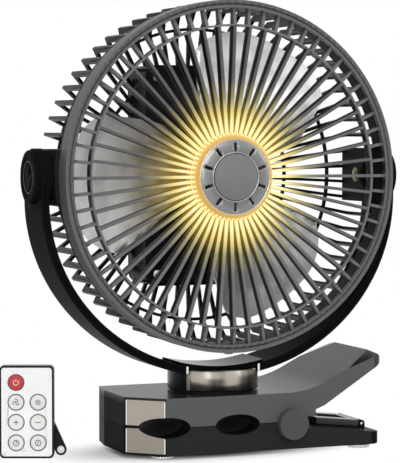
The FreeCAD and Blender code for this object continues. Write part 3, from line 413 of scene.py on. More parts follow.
def moulded(name, colour, rough, grain=1500.0, relief=0.10, **constants):
    """Moulded plastic: an even fine texture, slightly uneven in tone and in gloss."""
    paint = Paint(name, **{"Specular_IOR_Level": 0.3, **constants})
    spot = paint.place()
    fine = paint.noise(spot, grain, 1.0)
    broad = paint.noise(spot, 32.0, 4.0)
    return paint.feed(Base_Color=paint.mix(broad, times(colour, 0.86), times(colour, 1.14)),
                      Roughness=rough - 0.07 + fine * 0.08 + broad * 0.07,
                      Normal=paint.bump(fine, relief, MOULD_DEPTH))


def jaw_plastic(name, lit_side_colour, shaded_rest_colour):
    """Jaw plastic in painted light and shade: its two long sides satin and painted lighter, the rest
    glossy and painted dark, glossiest on the handle.
    """
    paint = Paint(name, Specular_IOR_Level=0.004, Coat_Roughness=0.16)
    _, y, z = paint.parts(paint.place())
    half_width = high("upper_jaw")[1]
    side = y.size().between(half_width - 0.5 * MM, half_width - 0.1 * MM)
    fine = paint.noise(paint.place(), 1800.0, 1.0)
    broad = paint.noise(paint.place(), 32.0, 4.0)
    handle = high("clip_pins")[2] + 12 * MM
    # Painted light and shade: the long sides take the lit colour, and the top, nose and handle take
    # the shaded dark copy of the same plastic.
    even = paint.mix(side, shaded_rest_colour, lit_side_colour)
    return paint.feed(Base_Color=paint.mix(broad * 0.2, even, times(lit_side_colour, 0.8)),
                      Roughness=0.24 + side * 0.08 + fine * 0.06,
                      Coat_Weight=z.between(handle, handle + 8 * MM) * (1.0 - side) * 0.55,
                      Normal=paint.bump(fine, 0.06, MOULD_DEPTH))


def brushed(name, colour, rough, stretch):
    """Metal with fine lines: noise squeezed across the lines and drawn out along them."""
    paint = Paint(name, Metallic=1.0)
    lines = paint.noise(paint.place(stretch=stretch), 900.0, 3.0)
    broad = paint.noise(paint.place(), 45.0, 3.0)
    tone = lines * 0.6 + broad * 0.4
    return paint.feed(Base_Color=paint.mix(tone, times(colour, 0.78), times(colour, 1.2)),
                      Roughness=rough - 0.08 + lines * 0.14,
                      Normal=paint.bump(lines, 0.12, LINE_DEPTH))


def collar_metal(colour):
    """Turned metal with soft upright stripes of painted reflection between the bright strips, and
    black beyond them.
    """
    paint = Paint("Collar metal", Metallic=1.0)
    x, _, _ = paint.parts(paint.place())
    strip = high("collar_trims")[0]
    beyond = x.size().between(strip - 1.2 * MM, strip - 0.8 * MM)
    # Painted reflection: upright stripes of light and dark stand for a turned cylinder's reflection,
    # and the brushed lines mixed in are the metal's own texture.
    painted_reflection_bands = (x * 300.0 + 0.9).maths("SINE").between(-0.9, 0.9)
    lines = paint.noise(paint.place(stretch=(1, 1, 14)), 900.0, 3.0)
    metal = paint.mix(painted_reflection_bands * 0.8 + lines * 0.2, times(colour, 0.14), times(colour, 1.3))
    return paint.feed(Base_Color=paint.mix(beyond, metal, (0.012, 0.012, 0.012)),
                      Roughness=0.22 + lines * 0.12, Normal=paint.bump(lines, 0.1, LINE_DEPTH))


def rubbery(name, colour, rough=0.75):
    """Matt rubber: a soft pebbled skin from a pattern of cells."""
    paint = Paint(name, Specular_IOR_Level=0.35)
    spot = paint.place()
    cells = paint.node("TexVoronoi", {}, {"Vector": spot, "Scale": 1400.0})
    broad = paint.noise(spot, 60.0, 3.0)
    return paint.feed(Base_Color=paint.mix(broad, times(colour, 0.8), times(colour, 1.25)),
                      Roughness=rough + broad * 0.1,
                      Normal=paint.bump(cells, 0.15, SKIN_DEPTH))


def head_radius(paint):
    """Distance from the head's axis, and the three coordinates about the head's middle."""
    x, y, z = paint.parts(paint.place((0, 0, HEAD_Z)))
    return (x * x + z * z) ** 0.5, x, y, z


def painted_glow_spread(paint, radius, stops, start, end):
    """Colour of the ring light's glow, painted as emission on parts that are no lamp, by distance from
    the head's axis.
    """
    share = (radius - start) / (end - start)
    return paint.node("ValToRGB", {"stops": stops}, [share], "Color")


def lit_grille(colour, light, reach):
    """Grille plastic, painted pale on its front edges and painted dark in shade on its sides, with the
    ring light's glow painted on as emission.

    Depth is measured from the spokes' front edge, which slopes from the middle ring down to ROOT_DROP
    at the hub. The painted glow is pale on the front edges and deeper in colour on the sides.
    """
    paint = Paint("Grille plastic", Emission_Strength=1.0, Specular_IOR_Level=0.12)
    fine = paint.noise(paint.place(), 1500.0, 1.0)
    broad = paint.noise(paint.place(), 32.0, 4.0)
    radius, _, y, _ = head_radius(paint)
    hub = high("light_diffuser")[0]
    slope = ROOT_DROP / (MIDDLE_RING - hub)
    sunk = ((MIDDLE_RING - radius) * slope).maths("MAXIMUM", 0.0)
    depth = y - (GRILLE_FRONT + 0.4 * MM) - sunk
    outer = radius.between(98 * MM, 100 * MM)
    # Painted shade: the spokes' sides are painted dark and their front edges pale, by depth behind the
    # front edge, with less shade painted on the outer rim.
    side = depth.between(0.7 * MM, 2.2 * MM) * (1.0 - outer * 0.55)
    front = paint.mix(broad, times(colour, 0.86), times(colour, 1.14))
    paint.feed(Base_Color=paint.mix(side, front, times(colour, 0.10)),
               Roughness=0.34 + fine * 0.08 + broad * 0.06,
               Normal=paint.bump(fine, 0.1, MOULD_DEPTH))
    # Painted light: the ring light's glow on the spokes is painted into their emission.
    pale = [(0.0, (1.0, 0.84, 0.34)), (0.14, (1.0, 0.88, 0.40)), (0.36, (0.74, 0.62, 0.17)),
            (0.65, (0.20, 0.17, 0.03)), (1.0, UNLIT)]
    deep = [(0.0, times(light, 0.55)), (0.22, (0.30, 0.18, 0.012)), (0.6, (0.04, 0.028, 0.003)),
            (1.0, UNLIT)]
    painted_front_glow = painted_glow_spread(paint, radius, pale, hub, hub + reach)
    painted_side_glow = painted_glow_spread(paint, radius, deep, hub, hub + reach)
    return paint.feed(Emission_Color=paint.mix(side, painted_front_glow, painted_side_glow))


def lit_blades(colour, light, reach):
    """Silvery blade plastic, darker towards the hub, with soft streaky painted highlights and the ring
    light's warmth painted on as emission.
    """
    paint = Paint("Blade plastic", Metallic=0.7, Coat_Weight=0.15, Coat_Roughness=0.2,
                  Emission_Strength=0.6)
    radius, x, y, z = head_radius(paint)
    turn = z.maths("ARCTAN2", x)
    around = paint.node("CombineXYZ", {}, [radius * 26.0, turn * 0.9, y * 20.0])
    painted_highlight_streaks = paint.noise(around, 2.2, 2.0)
    fine = paint.noise(paint.place(), 1100.0, 1.0)
    # Painted highlight: soft streaky noise lightens the blades' colour in places.
    tone = radius.between(26 * MM, 70 * MM) * 0.6 + painted_highlight_streaks.between(0.35, 0.65) * 0.4
    # Painted light: the ring light's warmth on the blades is painted into their emission.
    painted_warm_light = [(0.0, times(light, 0.4)), (0.3, (0.16, 0.12, 0.03)), (0.65, (0.04, 0.035, 0.015)),
            (1.0, UNLIT)]
    root = 22 * MM
    glow = painted_glow_spread(paint, radius, painted_warm_light, root, root + reach)
    return paint.feed(Base_Color=paint.mix(tone, times(colour, 0.25), times(colour, 1.2)),
                      Roughness=0.26 + painted_highlight_streaks * 0.14, Normal=paint.bump(fine, 0.05, SKIN_DEPTH),
                      Emission_Color=glow)


def cap_paint(colour):
    """Metallic grey cap with painted shade in its slots, where cos(CAP_SLOTS / 2 * turn) is nought,
    and painted shading that makes it lighter outwards.
    """
    paint = Paint("Hub cap paint", Metallic=0.6)
    radius, x, _, z = head_radius(paint)
    wave = (z.maths("ARCTAN2", x) * (CAP_SLOTS / 2)).maths("COSINE")
    aside = wave.size() * radius * (2 / CAP_SLOTS)
    inner_end, outer_end, half_width = 16.5 * MM, 22.1 * MM, 0.8 * MM
    inside = radius.between(inner_end, inner_end + 0.3 * MM)
    outside = radius.between(outer_end, outer_end + 0.2 * MM)
    # Painted shade: the slots are painted near-black.
    slot = (1.0 - aside.between(half_width, half_width + 0.25 * MM)) * (inside - outside)
    fine = paint.noise(paint.place(), 2200.0, 1.0)
    # Painted shading: the cap's conical face is painted lighter outwards.
    grey = paint.mix(radius.between(15.5 * MM, 24 * MM), times(colour, 0.8), times(colour, 1.2))
    return paint.feed(Base_Color=paint.mix(slot, grey, times(colour, 0.03)),
                      Roughness=0.30 + fine * 0.1, Normal=paint.bump(fine, 0.05, SKIN_DEPTH))


def lit_lens(light):
    """Frosted lens of the ring light: gold, with a bright dot beside each spoke's root."""
    paint = Paint("Light lens", Roughness=0.45, Emission_Strength=1.0, Coat_Weight=0.3)
    radius, x, _, z = head_radius(paint)
    wave = (z.maths("ARCTAN2", x) * SPOKES).maths("COSINE")
    edge = high("light_diffuser")[0]
    dots = wave.between(0.25, 0.75) * radius.between(edge - 1.5 * MM, edge - 0.8 * MM)
    haze = paint.noise(paint.place(), 500.0, 2.0)
    gold = paint.mix(radius.between(edge - 3.2 * MM, edge), times(light, 0.34), times(light, 0.62))
    base = paint.mix(haze, (0.30, 0.20, 0.07), (0.36, 0.25, 0.09))
    return paint.feed(Base_Color=base, Emission_Color=paint.mix(dots, gold, (1.0, 0.93, 0.6)),
                      Normal=paint.bump(haze, 0.06, SKIN_DEPTH))


def circuit(name, colour):
    """Circuit board: solder mask with copper tracks that follow a grid of cells."""
    paint = Paint(name, Coat_Weight=0.4, Coat_Roughness=0.2)
    spot = paint.place()
    cells = paint.node("TexVoronoi", {"distance": "MANHATTAN", "feature": "F1"},
                       {"Vector": spot, "Scale": 260.0})
    tracks = 1.0 - cells.size().between(0.42, 0.5)
    grain = paint.noise(spot, 700.0, 2.0)
    return paint.feed(Base_Color=paint.mix(tracks, times(colour, 1.5), times(colour, 0.8)),
                      Roughness=0.3 + grain * 0.15, Normal=paint.bump(tracks, 0.2, LINE_DEPTH))


def wrapped_cell():
    """Shrink-wrapped cells: a film with faint wrinkles, and bare upper ends."""
    paint = Paint("Cell wrap", Coat_Weight=0.5, Coat_Roughness=0.15)
    _, _, z = paint.parts(paint.place())
    top = high("battery_cells")[2]
    bare = z.between(top - 2.2 * MM, top - 1.8 * MM)
    wrinkles = paint.noise(paint.place(stretch=(1, 1, 0.12)), 420.0, 3.0)
    return paint.feed(Base_Color=paint.mix(bare, (0.02, 0.16, 0.07), (0.55, 0.54, 0.52)),
                      Metallic=bare, Roughness=0.3 + wrinkles * 0.2,
                      Normal=paint.bump(wrinkles, 0.15, SKIN_DEPTH))


def charge_lamps():
    """Smoked strip with four soft lamps behind it, three of them lit."""
    paint = Paint("Charge window", Roughness=0.2, Coat_Weight=0.6, Emission_Strength=1.2)
    x, _, _ = paint.parts(paint.place(middle("charge_window")))
    step = 5.2 * MM
    from_lamp = ((x / step + 10.0).maths("FRACT") - 0.5).size()
    lamp = 1.0 - from_lamp.between(0.10, 0.24)
    lit = lamp * (1.0 - x.between(4.6 * MM, 4.8 * MM))
    haze = paint.noise(paint.place(), 300.0, 2.0)
    tone = lamp * 0.6 + haze * 0.2
    return paint.feed(Base_Color=paint.mix(tone, (0.03, 0.035, 0.035), (0.3, 0.33, 0.32)),
                      Emission_Color=paint.mix(lit, UNLIT, (0.25, 0.75, 0.55)))


def bright_plate(name, colour, rough=0.12):
    """Plated trim: a clean reflection, a little cloudy."""
    paint = Paint(name, Metallic=1.0)
    cloud = paint.noise(paint.place(), 180.0, 3.0)
    fine = paint.noise(paint.place(), 2400.0, 1.0)
    return paint.feed(Base_Color=paint.mix(cloud, times(colour, 0.9), times(colour, 1.06)),
                      Roughness=rough + cloud * 0.1, Normal=paint.bump(fine, 0.03, LINE_DEPTH))


# What a user would change

class FanSizes(bpy.types.PropertyGroup):
    edge: FloatProperty(name="Edge round", description="Rounding of the jaws' edges",
                        default=0.5 * MM, min=0.0, unit="LENGTH")
    fine_edge: FloatProperty(name="Fine edge round", description="Rounding of thin parts' edges",
                             default=0.25 * MM, min=0.0, unit="LENGTH")
    # Reach of the painted light: the ring light's glow on spokes and blades is painted into their
    # emission.
    glow: FloatProperty(name="Glow reach", default=36 * MM, min=0.0, unit="LENGTH",
                        description="How far the ring light's glow runs along the spokes")
    ridges: IntProperty(name="Foot ridges", description="Ridges round each foot", default=30, min=8)
    bead: FloatProperty(name="Bead thickness", description="Half the thickness of the collar's bead",
                        default=0.45 * MM, min=0.0, unit="LENGTH")
    line: FloatProperty(name="Symbol line", description="Width of the lines of the keys' symbols",
                        default=0.5 * MM, min=0.0, unit="LENGTH")


def colour_choice(name, description, default):
    """A colour that a user may change."""
    return FloatVectorProperty(name=name, description=description, subtype="COLOR", size=3,
                               default=default, min=0.0, max=1.0)


class FanColours(bpy.types.PropertyGroup):
    casing: colour_choice("Casing", "Rear grille, cover and yoke", (0.0125, 0.0128, 0.0140))
    grille: colour_choice("Front grille", "Front grille's plastic", (0.150, 0.150, 0.155))
    blade: colour_choice("Blades", "Silvery blade plastic", (0.80, 0.80, 0.79))
    light: colour_choice("Light", "The ring light's gold", (1.0, 0.56, 0.10))
    cap: colour_choice("Hub cap", "Metallic grey of the hub cap", (0.20, 0.20, 0.195))
    badge: colour_choice("Hub disc", "Plain disc in the hub cap", (0.16, 0.16, 0.16))
    # The two jaws' colours below are one plastic painted in two tones by how light falls: lit long
    # sides, and a shaded dark copy for top, nose and handle.
    upper_jaw_lit_sides: colour_choice("Upper jaw", "Upper half of the clip", (0.098, 0.099, 0.103))
    clip_deck_in_shade: colour_choice("Deck", "Top, nose and handle of the clip", (0.010, 0.011, 0.014))
    lower_jaw_lit_sides: colour_choice("Lower jaw", "Lower half of the clip", (0.024, 0.024, 0.025))
    champagne: colour_choice("Champagne", "Corner panels and collar", (0.36, 0.33, 0.28))
    remote: colour_choice("Remote face", "White face of the remote", (0.93, 0.93, 0.92))
    red: colour_choice("Red key", "The remote's power key", (0.55, 0.035, 0.03))


def sizes():
    return bpy.context.scene.fan_sizes


def colours():
    return bpy.context.scene.fan_colours


class Maker(bpy.types.Operator):
    """Shared frame of the operators below: build, then report that it is done."""
    bl_options = {"REGISTER", "UNDO"}

    def execute(self, context):
        self.build()
        return {"FINISHED"}


class FAN_OT_front_grille(Maker):
    """Front grille with the ring light's glow painted on its spokes"""
    bl_idname = "fan.front_grille"
    bl_label = "Front grille"

    def build(self):
        refine(["front_grille"], lit_grille(colours().grille, colours().light, sizes().glow))


class FAN_OT_rear_casing(Maker):
    """Rear grille, battery box cover and the screws that hold them"""
    bl_idname = "fan.rear_casing"
    bl_label = "Rear casing"

    def build(self):
        casing = moulded("Casing plastic", colours().casing, 0.34, Specular_IOR_Level=0.03)
        refine(["rear_grille"], casing)
        refine(["rear_cover"], casing, sizes().fine_edge)
        refine(["rim_screw", "cover_screws"], bright_plate("Zinc screws", ZINC, 0.25))


class FAN_OT_ring_light(Maker):
    """Lens, light chips and their board in the hub"""
    bl_idname = "fan.ring_light"
    bl_label = "Ring light"

    def build(self):
        refine(["light_diffuser"], lit_lens(colours().light))
        refine(["light_board"], circuit("Light board", (0.30, 0.31, 0.30)))
        refine(["light_chips"], moulded("Light chips", (0.8, 0.6, 0.2), 0.3, Emission_Strength=1.0,
                                        Emission_Color=(1.0, 0.75, 0.3, 1.0)))


class FAN_OT_hub(Maker):
    """Slotted hub cap with its disc and two thin bright rings"""
    bl_idname = "fan.hub"
    bl_label = "Hub cap"

    def build(self):
        refine(["hub_cap"], cap_paint(colours().cap))
        refine(["hub_badge"], moulded("Hub disc plastic", colours().badge, 0.55, 2600.0, 0.08))
        front = low("hub_cap")[1]
        radius = high("hub_cap")[0]
        satin = bright_plate("Satin bead", (0.62, 0.62, 0.6), 0.2)
        rim = ring((0, front + 1.25 * MM, HEAD_Z), (0, 1, 0), radius - 0.12 * MM, 0.3 * MM, 160)
        groove = ring((0, front + 0.05 * MM, HEAD_Z), (0, 1, 0), CAP_GROOVE_RING, 0.22 * MM, 120)
        make_piece("hub_rim_bead", [rim, groove], "head", satin)


class FAN_OT_rotor(Maker):
    """Blades, their nut and the shaft"""
    bl_idname = "fan.rotor"
    bl_label = "Rotor"

    def build(self):
        refine(["fan_blade"], lit_blades(colours().blade, colours().light, sizes().glow * 1.2))
        refine(["blade_nut"], moulded("Nut plastic", (0.03, 0.03, 0.032), 0.3))
        refine(["motor_shaft"], brushed("Shaft steel", ZINC, 0.2, (1, 0.1, 1)))


class FAN_OT_inside(Maker):
    """Motor, cells and board inside the head"""
    bl_idname = "fan.inside"
    bl_label = "Inner parts"

    def build(self):
        refine(["motor_can"], brushed("Motor can", (0.46, 0.46, 0.47), 0.3, (1, 8, 1)))
        refine(["motor_plate", "motor_screws", "motor_bearings", "power_ports"],
               bright_plate("Plated steel", (0.52, 0.52, 0.53), 0.28))
        refine(["battery_cells"], wrapped_cell())
        refine(["control_board"], circuit("Control board", BOARD_GREEN))
        refine(["pivot_bushes"], bright_plate("Sintered bronze", (0.42, 0.30, 0.15), 0.4))
        refine(["pivot_screws", "swivel_bolt", "swivel_nut", "base_screws", "clip_pins"],
               bright_plate("Zinc steel", ZINC, 0.22))
        refine(["jaw_spring"], brushed("Spring steel", (0.38, 0.38, 0.4), 0.3, (1, 1, 1)))


def fan_symbol(radius):
    """Three blades as half circles about the middle."""
    half = radius / 2
    blades = []
    for turn in (90, 210, 330):
        spot = (half * math.cos(math.radians(turn)), half * math.sin(math.radians(turn)))
        blades.append(arc(spot, half, turn - 180, turn + 40, 18))
    return blades


def lamp_symbol(radius):
    """A circle with eight rays."""
    shapes = [arc((0, 0), radius * 0.42, 0, 360, 30)]
    for turn in np.radians(np.arange(8) * 45.0):
        heading = np.array([math.cos(turn), math.sin(turn)])
        shapes.append(line(heading * radius * 0.66, heading * radius, 3))
    return shapes


def clock_symbol(radius, hand):
    """A round clock face with one upright and one turned hand."""
    turn = math.radians(hand)
    end = (radius * 0.5 * math.cos(turn), radius * 0.5 * math.sin(turn))
    return [arc((0, 0), radius * 0.85, 0, 360, 32),
            line((0, 0), (0, radius * 0.55)), line((0, 0), end)]


def key_symbol(name, radius):
    """The lines of a key's symbol, about the middle of the key."""
    reach = radius * 0.8
    if name == "power":
        return [arc((0, 0), reach, 125, 415, 28), line((0, radius * 0.2), (0, radius))]
    if name == "fan":
        return fan_symbol(radius)
    if name == "light":
        return lamp_symbol(radius)
    if name == "speed_up":
        return [line((-reach, 0), (reach, 0)), line((0, -reach), (0, reach))]
    if name == "speed_down":
        return [line((-reach, 0), (reach, 0))]
    return clock_symbol(radius, 0 if name == "timer_short" else 235)


def symbol_patches(name, radius, width, node, directions):
    """The lines of a symbol, laid on the outward face of a key."""
    origin = face_middle(node, directions)
    return [laid_on(stroke(path, width, SYMBOL_HEIGHT), origin, directions)
            for path in key_symbol(name, radius)]


class FAN_OT_back_controls(Maker):
    """Keys with their rims and raised symbols, charge window and ports' flap"""
    bl_idname = "fan.back_controls"
    bl_label = "Back controls"

    def build(self):
        key_paint = rubbery("Back keys", (0.10, 0.10, 0.105), 0.6)
        ink = moulded("Symbol ink", (0.72, 0.72, 0.72), 0.5)
        refine(["speed_key", "light_key"], key_paint)
        refine(["charge_window"], charge_lamps())
        flap = rubbery("Flap rubber", (0.022, 0.022, 0.023))
        refine(["port_flap"], flap, sizes().fine_edge)
        directions = ((-1, 0, 0), (0, 0, 1), (0, 1, 0))
        for node, symbol in (("speed_key", "fan"), ("light_key", "light")):
            patches = symbol_patches(symbol, 3.2 * MM, sizes().line, node, directions)
            make_piece(node + "_symbol", patches, node, ink)
        rims = []
        for node in ("speed_key", "light_key"):
            spot = middle(node)
            spot[1] = COVER_BACK - 0.05 * MM
            rims.append(ring(spot, (0, 1, 0), BACK_KEY_RING, 0.35 * MM, 64, 8))
        make_piece("back_key_rims", rims, "head",
                   bright_plate("Key rims", (0.4, 0.4, 0.41), 0.2))


class FAN_OT_neck(Maker):
    """Yoke, its pad, the pivots' caps with their rings, washers and the metal collar"""
    bl_idname = "fan.neck"
    bl_label = "Yoke and neck"

    def build(self):
        yoke = moulded("Yoke plastic", times(colours().casing, 0.5), 0.28,
                       Specular_IOR_Level=0.002)
        refine(["yoke"], yoke, sizes().fine_edge)
        refine(["pivot_caps"], yoke)
        refine(["yoke_pad"], moulded("Gloss black", (0.004, 0.004, 0.005), 0.15, 900.0, 0.02,
                                     Specular_IOR_Level=0.02))
        refine(["neck_washer", "friction_washers"],
               moulded("Washer plastic", (0.02, 0.02, 0.02), 0.5))
        refine(["neck_collar"], collar_metal(colours().champagne))
        refine(["collar_trims"], bright_plate("Bright trim", (0.78, 0.78, 0.77)))
        radius = high("neck_collar")[0]
        foot = low("neck_collar")[2] + 0.5 * MM
        bead = ring((0, 0, foot), (0, 0, 1), radius - 0.35 * MM, sizes().bead, 120)
        make_piece("collar_foot_bead", [bead], "neck", yoke)
        caps = []
        for side in (-1, 1):
            x = side * (high("pivot_caps")[0] - 0.02 * MM)
            caps.append(ring((x, 0, HEAD_Z), (1, 0, 0), PIVOT_CAP_RING, 0.28 * MM, 90, 8))
        make_piece("pivot_cap_rings", caps, "neck",
                   moulded("Cap ring", (0.06, 0.06, 0.062), 0.3))


class FAN_OT_clip(Maker):
    """Jaws, corner panels with bright edges, hinge caps, pads, feet and hook"""
    bl_idname = "fan.clip"
    bl_label = "Clip"

    def build(self):
        # Each jaw carries painted light on its long sides and painted shade on its top, nose and
        # handle.
        upper = jaw_plastic("Upper jaw plastic", colours().upper_jaw_lit_sides, colours().clip_deck_in_shade)
        lower = jaw_plastic("Lower jaw plastic", colours().lower_jaw_lit_sides, times(colours().clip_deck_in_shade, 0.6))
        refine(["upper_jaw"], upper, sizes().edge)
        refine(["lower_jaw"], lower, sizes().edge)
        refine(["base_plate"], moulded("Black plastic", BLACK, 0.42))
        refine(["hang_hook"], moulded("Hook plastic", (0.05, 0.05, 0.056), 0.22, Metallic=0.6),
               sizes().fine_edge)
        refine(["hinge_caps"], moulded("Hinge cap plastic", (0.070, 0.070, 0.072), 0.4,
                                        Specular_IOR_Level=0.08), sizes().fine_edge)
        refine(["upper_grip_pad", "lower_grip_pad"], rubbery("Grip rubber", (0.015, 0.015, 0.015)))
        # Painted light and shade: the upper panel takes a lighter and the lower panel a darker copy of
        # the same champagne.
        for node, name, tone in (("upper_corner_panel", "Upper panel metal", 1.1),
                                 ("lower_corner_panel", "Lower panel metal", 0.85)):
            refine([node], brushed(name, times(colours().champagne, tone), 0.42, (1, 1, 10)))
        self.panel_edges()
        self.feet()

    def panel_edges(self):
        """Bright bars up both ends of each corner panel.

        The bar at the side stops short of the opening between the jaws. Sign is 1 on the
        upper panel and -1 on the lower one, whose bars run down from the seam.
        """
        trim = bright_plate("Panel edge", (0.80, 0.79, 0.77), 0.15)
        side_inset, nose_inset, half_opening = 0.82 * MM, 0.88 * MM, 6.9 * MM
        seam = (high("lower_corner_panel")[2] + low("upper_corner_panel")[2]) / 2
        for node, body, sign in (("upper_corner_panel", "clip_handle", 1),
                                 ("lower_corner_panel", "clip_base", -1)):
            lo, hi = low(node), high(node)
            near, far = (lo[2], hi[2]) if sign > 0 else (hi[2], lo[2])
            near, far = near + sign * 0.2 * MM, far - sign * 0.3 * MM
            side_edge = (hi[0] - side_inset, lo[1])
            nose_edge = (lo[0], hi[1] - nose_inset)
            opening_edge = seam + sign * half_opening
            side_bar = line((*side_edge, opening_edge), (*side_edge, far), 8)
            nose_bar = line((*nose_edge, near), (*nose_edge, far), 8)
            bars = [bar(side_bar, 0.5 * MM, (1, 0, 0)), bar(nose_bar, 0.45 * MM, (1, 0, 0))]
            make_piece(node + "_edges", bars, body, trim)

    def feet(self):
        """Four turned feet with a ridged edge. The ridges die out towards both faces.

        The profile is (radius, height, share of the ridges), in millimetres.
        """
        metal = bright_plate("Foot metal", (0.58, 0.56, 0.53), 0.22)
        profile = [(0, 0, 0), (5.6, 0, 0), (5.9, 0.25, 0), (6.3, 0.25, 0), (6.6, 0, 0), (7.0, 0, 0),
                   (7.35, 0.35, 1), (7.35, 2.1, 1), (7.0, 2.5, 0), (6.6, 2.94, 0), (0, 2.94, 0)]
        profile = np.array(profile) * (MM, MM, 1)
        lo, hi = low("feet"), high("feet")
        radius = 7.5 * MM
        patches = [revolve(profile, (x, y, 0), (0, 0, 1), 180, 0.02, sizes().ridges)
                   for x in (lo[0] + radius, hi[0] - radius) for y in (lo[1] + radius, hi[1] - radius)]
        feet = make_piece("turned_feet", patches, "clip_base", metal)
        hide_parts("feet")


def remote_directions():
    """Across, up and out of the remote's face, which is turned about the upright axis."""
    c, s = math.cos(REMOTE_TURN), math.sin(REMOTE_TURN)
    return (c, s, 0), (0, 0, 1), (s, -c, 0)


def tab_plastic():
    """Black plastic with a bright eyelet at the tab's tip."""
    paint = Paint("Tab plastic", Specular_IOR_Level=0.1)
    spot = paint.place(EYELET)
    aside = paint.node("VectorMath", {"operation": "DOT_PRODUCT"},
                       [spot, remote_directions()[0]], "Value")
    _, _, z = paint.parts(spot)
    metal = 1.0 - ((aside * aside + z * z) ** 0.5).between(2.3 * MM, 2.45 * MM)
    fine = paint.noise(paint.place(), 1500.0, 1.0)
    return paint.feed(Base_Color=paint.mix(metal, BLACK, (0.62, 0.62, 0.6)),
                      Metallic=metal, Roughness=0.26 + fine * 0.1,
                      Normal=paint.bump(fine, 0.08, SKIN_DEPTH))


class FAN_OT_remote(Maker):
    """Remote with its keys, their rims and symbols, and the hanging tab"""
    bl_idname = "fan.remote"
    bl_label = "Remote"

    def build(self):
        refine(["remote_case"], moulded("Remote frame", BLACK, 0.28,
                                        Specular_IOR_Level=0.1), sizes().fine_edge)
        refine(["remote_face"], moulded("Remote face", colours().remote, 0.35, 1600.0, 0.04))
        refine(["remote_board"], circuit("Remote board", BOARD_GREEN))
        refine(["remote_tray"], moulded("Tray plastic", (0.022, 0.022, 0.024), 0.4))
        refine(["remote_tab"], tab_plastic(), sizes().fine_edge)
        directions = remote_directions()
        grey = rubbery("Grey keys", (0.74, 0.74, 0.72), 0.45)
        red = moulded("Red key plastic", colours().red, 0.32, Coat_Weight=0.3)
        ink = moulded("Key ink", (0.10, 0.10, 0.105), 0.5)
        pale = moulded("Pale ink", (0.75, 0.72, 0.7), 0.5)
        for name in KEY_NAMES:
            node = "remote_key_" + name
            refine([node], red if name == "power" else grey)
            patches = symbol_patches(name, 2.1 * MM, sizes().line, node, directions)
            make_piece(node + "_symbol", patches, node, pale if name == "power" else ink)
        rims = []
        out = np.array(directions[2])
        for name in KEY_NAMES:
            spot = face_middle("remote_key_" + name, directions) - 0.6 * MM * out
            rims.append(ring(spot, out, REMOTE_KEY_RING, 0.34 * MM, 64, 8, 0.8))
        make_piece("remote_key_rims", rims, "remote",
                   moulded("Rim ink", (0.16, 0.16, 0.17), 0.5))


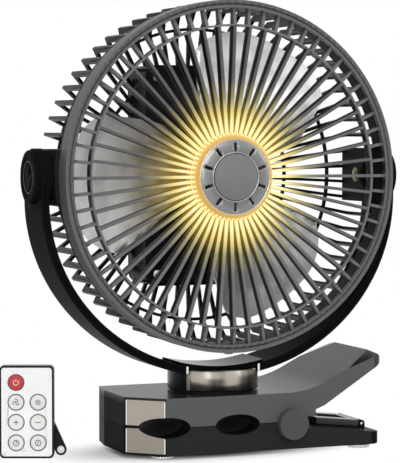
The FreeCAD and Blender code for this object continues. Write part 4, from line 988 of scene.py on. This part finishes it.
class FAN_OT_stage(Maker):
    """White floor, soft lights and the camera"""
    bl_idname = "fan.stage"
    bl_label = "Stage"

    def build(self):
        self.floor()
        self.world()
        self.lights()
        self.camera()

    def floor(self):
        """Flat floor: lit and shadowed near the fan, and plain white further out.

        The white is for what the camera sees, directly or in a reflection. It begins
        where (across, deep) lies outside an ellipse about the fan's foot.
        """
        paint = Paint("White floor", Roughness=0.9, Base_Color=(0.86, 0.86, 0.86, 1.0),
                      Specular_IOR_Level=0.1)
        x, y, _ = paint.parts(paint.place((-0.01, 0.0, 0)))
        across, deep = x / 0.12, y / 0.062
        away = (across * across + deep * deep) ** 0.5
        seen = paint.node("LightPath", {}, {}, "Is Camera Ray")
        glossy = paint.node("LightPath", {}, {}, "Is Glossy Ray")
        through = paint.node("LightPath", {}, {}, "Is Transmission Ray")
        share = away.between(0.35, 1.05) * (seen + glossy + through).between(0.0, 0.5)
        white = paint.node("Emission", {}, {"Color": (1, 1, 1, 1), "Strength": 1.0})
        shader = Wire(paint, paint.shader.outputs[0])
        mixed = paint.node("MixShader", {}, [share, shader, white])
        surface = paint.tree.nodes["Material Output"].inputs["Surface"]
        paint.tree.links.new(mixed.socket, surface)
        reach = 12.0
        mesh = bpy.data.meshes.new("floor")
        corners = [(-reach, -reach, 0), (reach, -reach, 0), (reach, reach, 0), (-reach, reach, 0)]
        mesh.from_pydata(corners, [], [(0, 1, 2, 3)])
        mesh.materials.append(paint.material)
        floor = bpy.data.objects.new("floor", mesh)
        bpy.context.scene.collection.objects.link(floor)

    def world(self):
        """White to the camera and in reflections, and a low even light on the fan."""
        light_level, seen_level = 0.24, 1.0
        world = bpy.data.worlds.new("Studio")
        bpy.context.scene.world = world
        world.use_nodes = True
        tree = world.node_tree
        rays = tree.nodes.new("ShaderNodeLightPath")
        either = tree.nodes.new("ShaderNodeMath")
        either.operation = "ADD"
        also = tree.nodes.new("ShaderNodeMath")
        also.operation = "ADD"
        also.use_clamp = True
        tree.links.new(rays.outputs["Is Camera Ray"], either.inputs[0])
        tree.links.new(rays.outputs["Is Glossy Ray"], either.inputs[1])
        tree.links.new(either.outputs[0], also.inputs[0])
        tree.links.new(rays.outputs["Is Transmission Ray"], also.inputs[1])
        level = tree.nodes.new("ShaderNodeMapRange")
        level.inputs["To Min"].default_value = light_level
        level.inputs["To Max"].default_value = seen_level
        tree.links.new(also.outputs[0], level.inputs["Value"])
        tree.links.new(level.outputs[0], tree.nodes["Background"].inputs["Strength"])
        tree.nodes["Background"].inputs["Color"].default_value = (1, 1, 1, 1)

    def lights(self):
        """Large soft panels: above, in front, and at the right."""
        panels = (("top", (-0.1, -0.25, 1.5), 1.3, 9.0),
                  ("front", (-0.6, -2.2, 1.0), 1.5, 34.0),
                  ("right", (1.6, -0.7, 0.8), 0.9, 8.0))
        target = Vector((0, 0, 0.15))
        for name, spot, width, power in panels:
            light = bpy.data.lights.new(name, "AREA")
            light.size = width
            light.energy = power
            lamp = bpy.data.objects.new(name, light)
            lamp.location = spot
            aim = target - Vector(spot)
            lamp.rotation_euler = aim.to_track_quat("-Z", "Y").to_euler()
            bpy.context.scene.collection.objects.link(lamp)

    def camera(self):
        """Long lens at the photograph's viewing angle."""
        data = bpy.data.cameras.new("camera")
        data.lens = CAMERA_LENS
        data.sensor_width = 36.0
        data.clip_end = 50.0
        camera = bpy.data.objects.new("camera", data)
        level = math.cos(CAMERA_DROP)
        aim = Vector((-math.sin(CAMERA_TURN) * level, math.cos(CAMERA_TURN) * level,
                      -math.sin(CAMERA_DROP)))
        camera.location = CAMERA_SPOT
        camera.rotation_euler = aim.to_track_quat("-Z", "Y").to_euler()
        bpy.context.scene.collection.objects.link(camera)
        bpy.context.scene.camera = camera
        bpy.context.scene.view_settings.view_transform = "Standard"


MAKERS = (FAN_OT_front_grille, FAN_OT_rear_casing, FAN_OT_ring_light, FAN_OT_hub, FAN_OT_rotor,
          FAN_OT_inside, FAN_OT_back_controls, FAN_OT_neck, FAN_OT_clip, FAN_OT_remote, FAN_OT_stage)


class FAN_PT_panel(bpy.types.Panel):
    """Sizes, colours and one button for each group of pieces"""
    bl_idname = "FAN_PT_panel"
    bl_label = "Fan"
    bl_space_type = "VIEW_3D"
    bl_region_type = "UI"
    bl_category = "Fan"

    def draw(self, context):
        for group in (context.scene.fan_sizes, context.scene.fan_colours):
            column = self.layout.column(align=True)
            for name in group.__annotations__:
                column.prop(group, name)
        for maker in MAKERS:
            self.layout.operator(maker.bl_idname)


CLASSES = (FanSizes, FanColours, *MAKERS, FAN_PT_panel)


def register():
    for kind in CLASSES:
        bpy.utils.register_class(kind)
    bpy.types.Scene.fan_sizes = PointerProperty(type=FanSizes)
    bpy.types.Scene.fan_colours = PointerProperty(type=FanColours)


def unregister():
    del bpy.types.Scene.fan_colours
    del bpy.types.Scene.fan_sizes
    for kind in reversed(CLASSES):
        bpy.utils.unregister_class(kind)


def main():
    """Makes every piece in order."""
    register()
    for maker in MAKERS:
        group, action = maker.bl_idname.split(".")
        getattr(getattr(bpy.ops, group), action)()


if __name__ == "__main__":
    main()
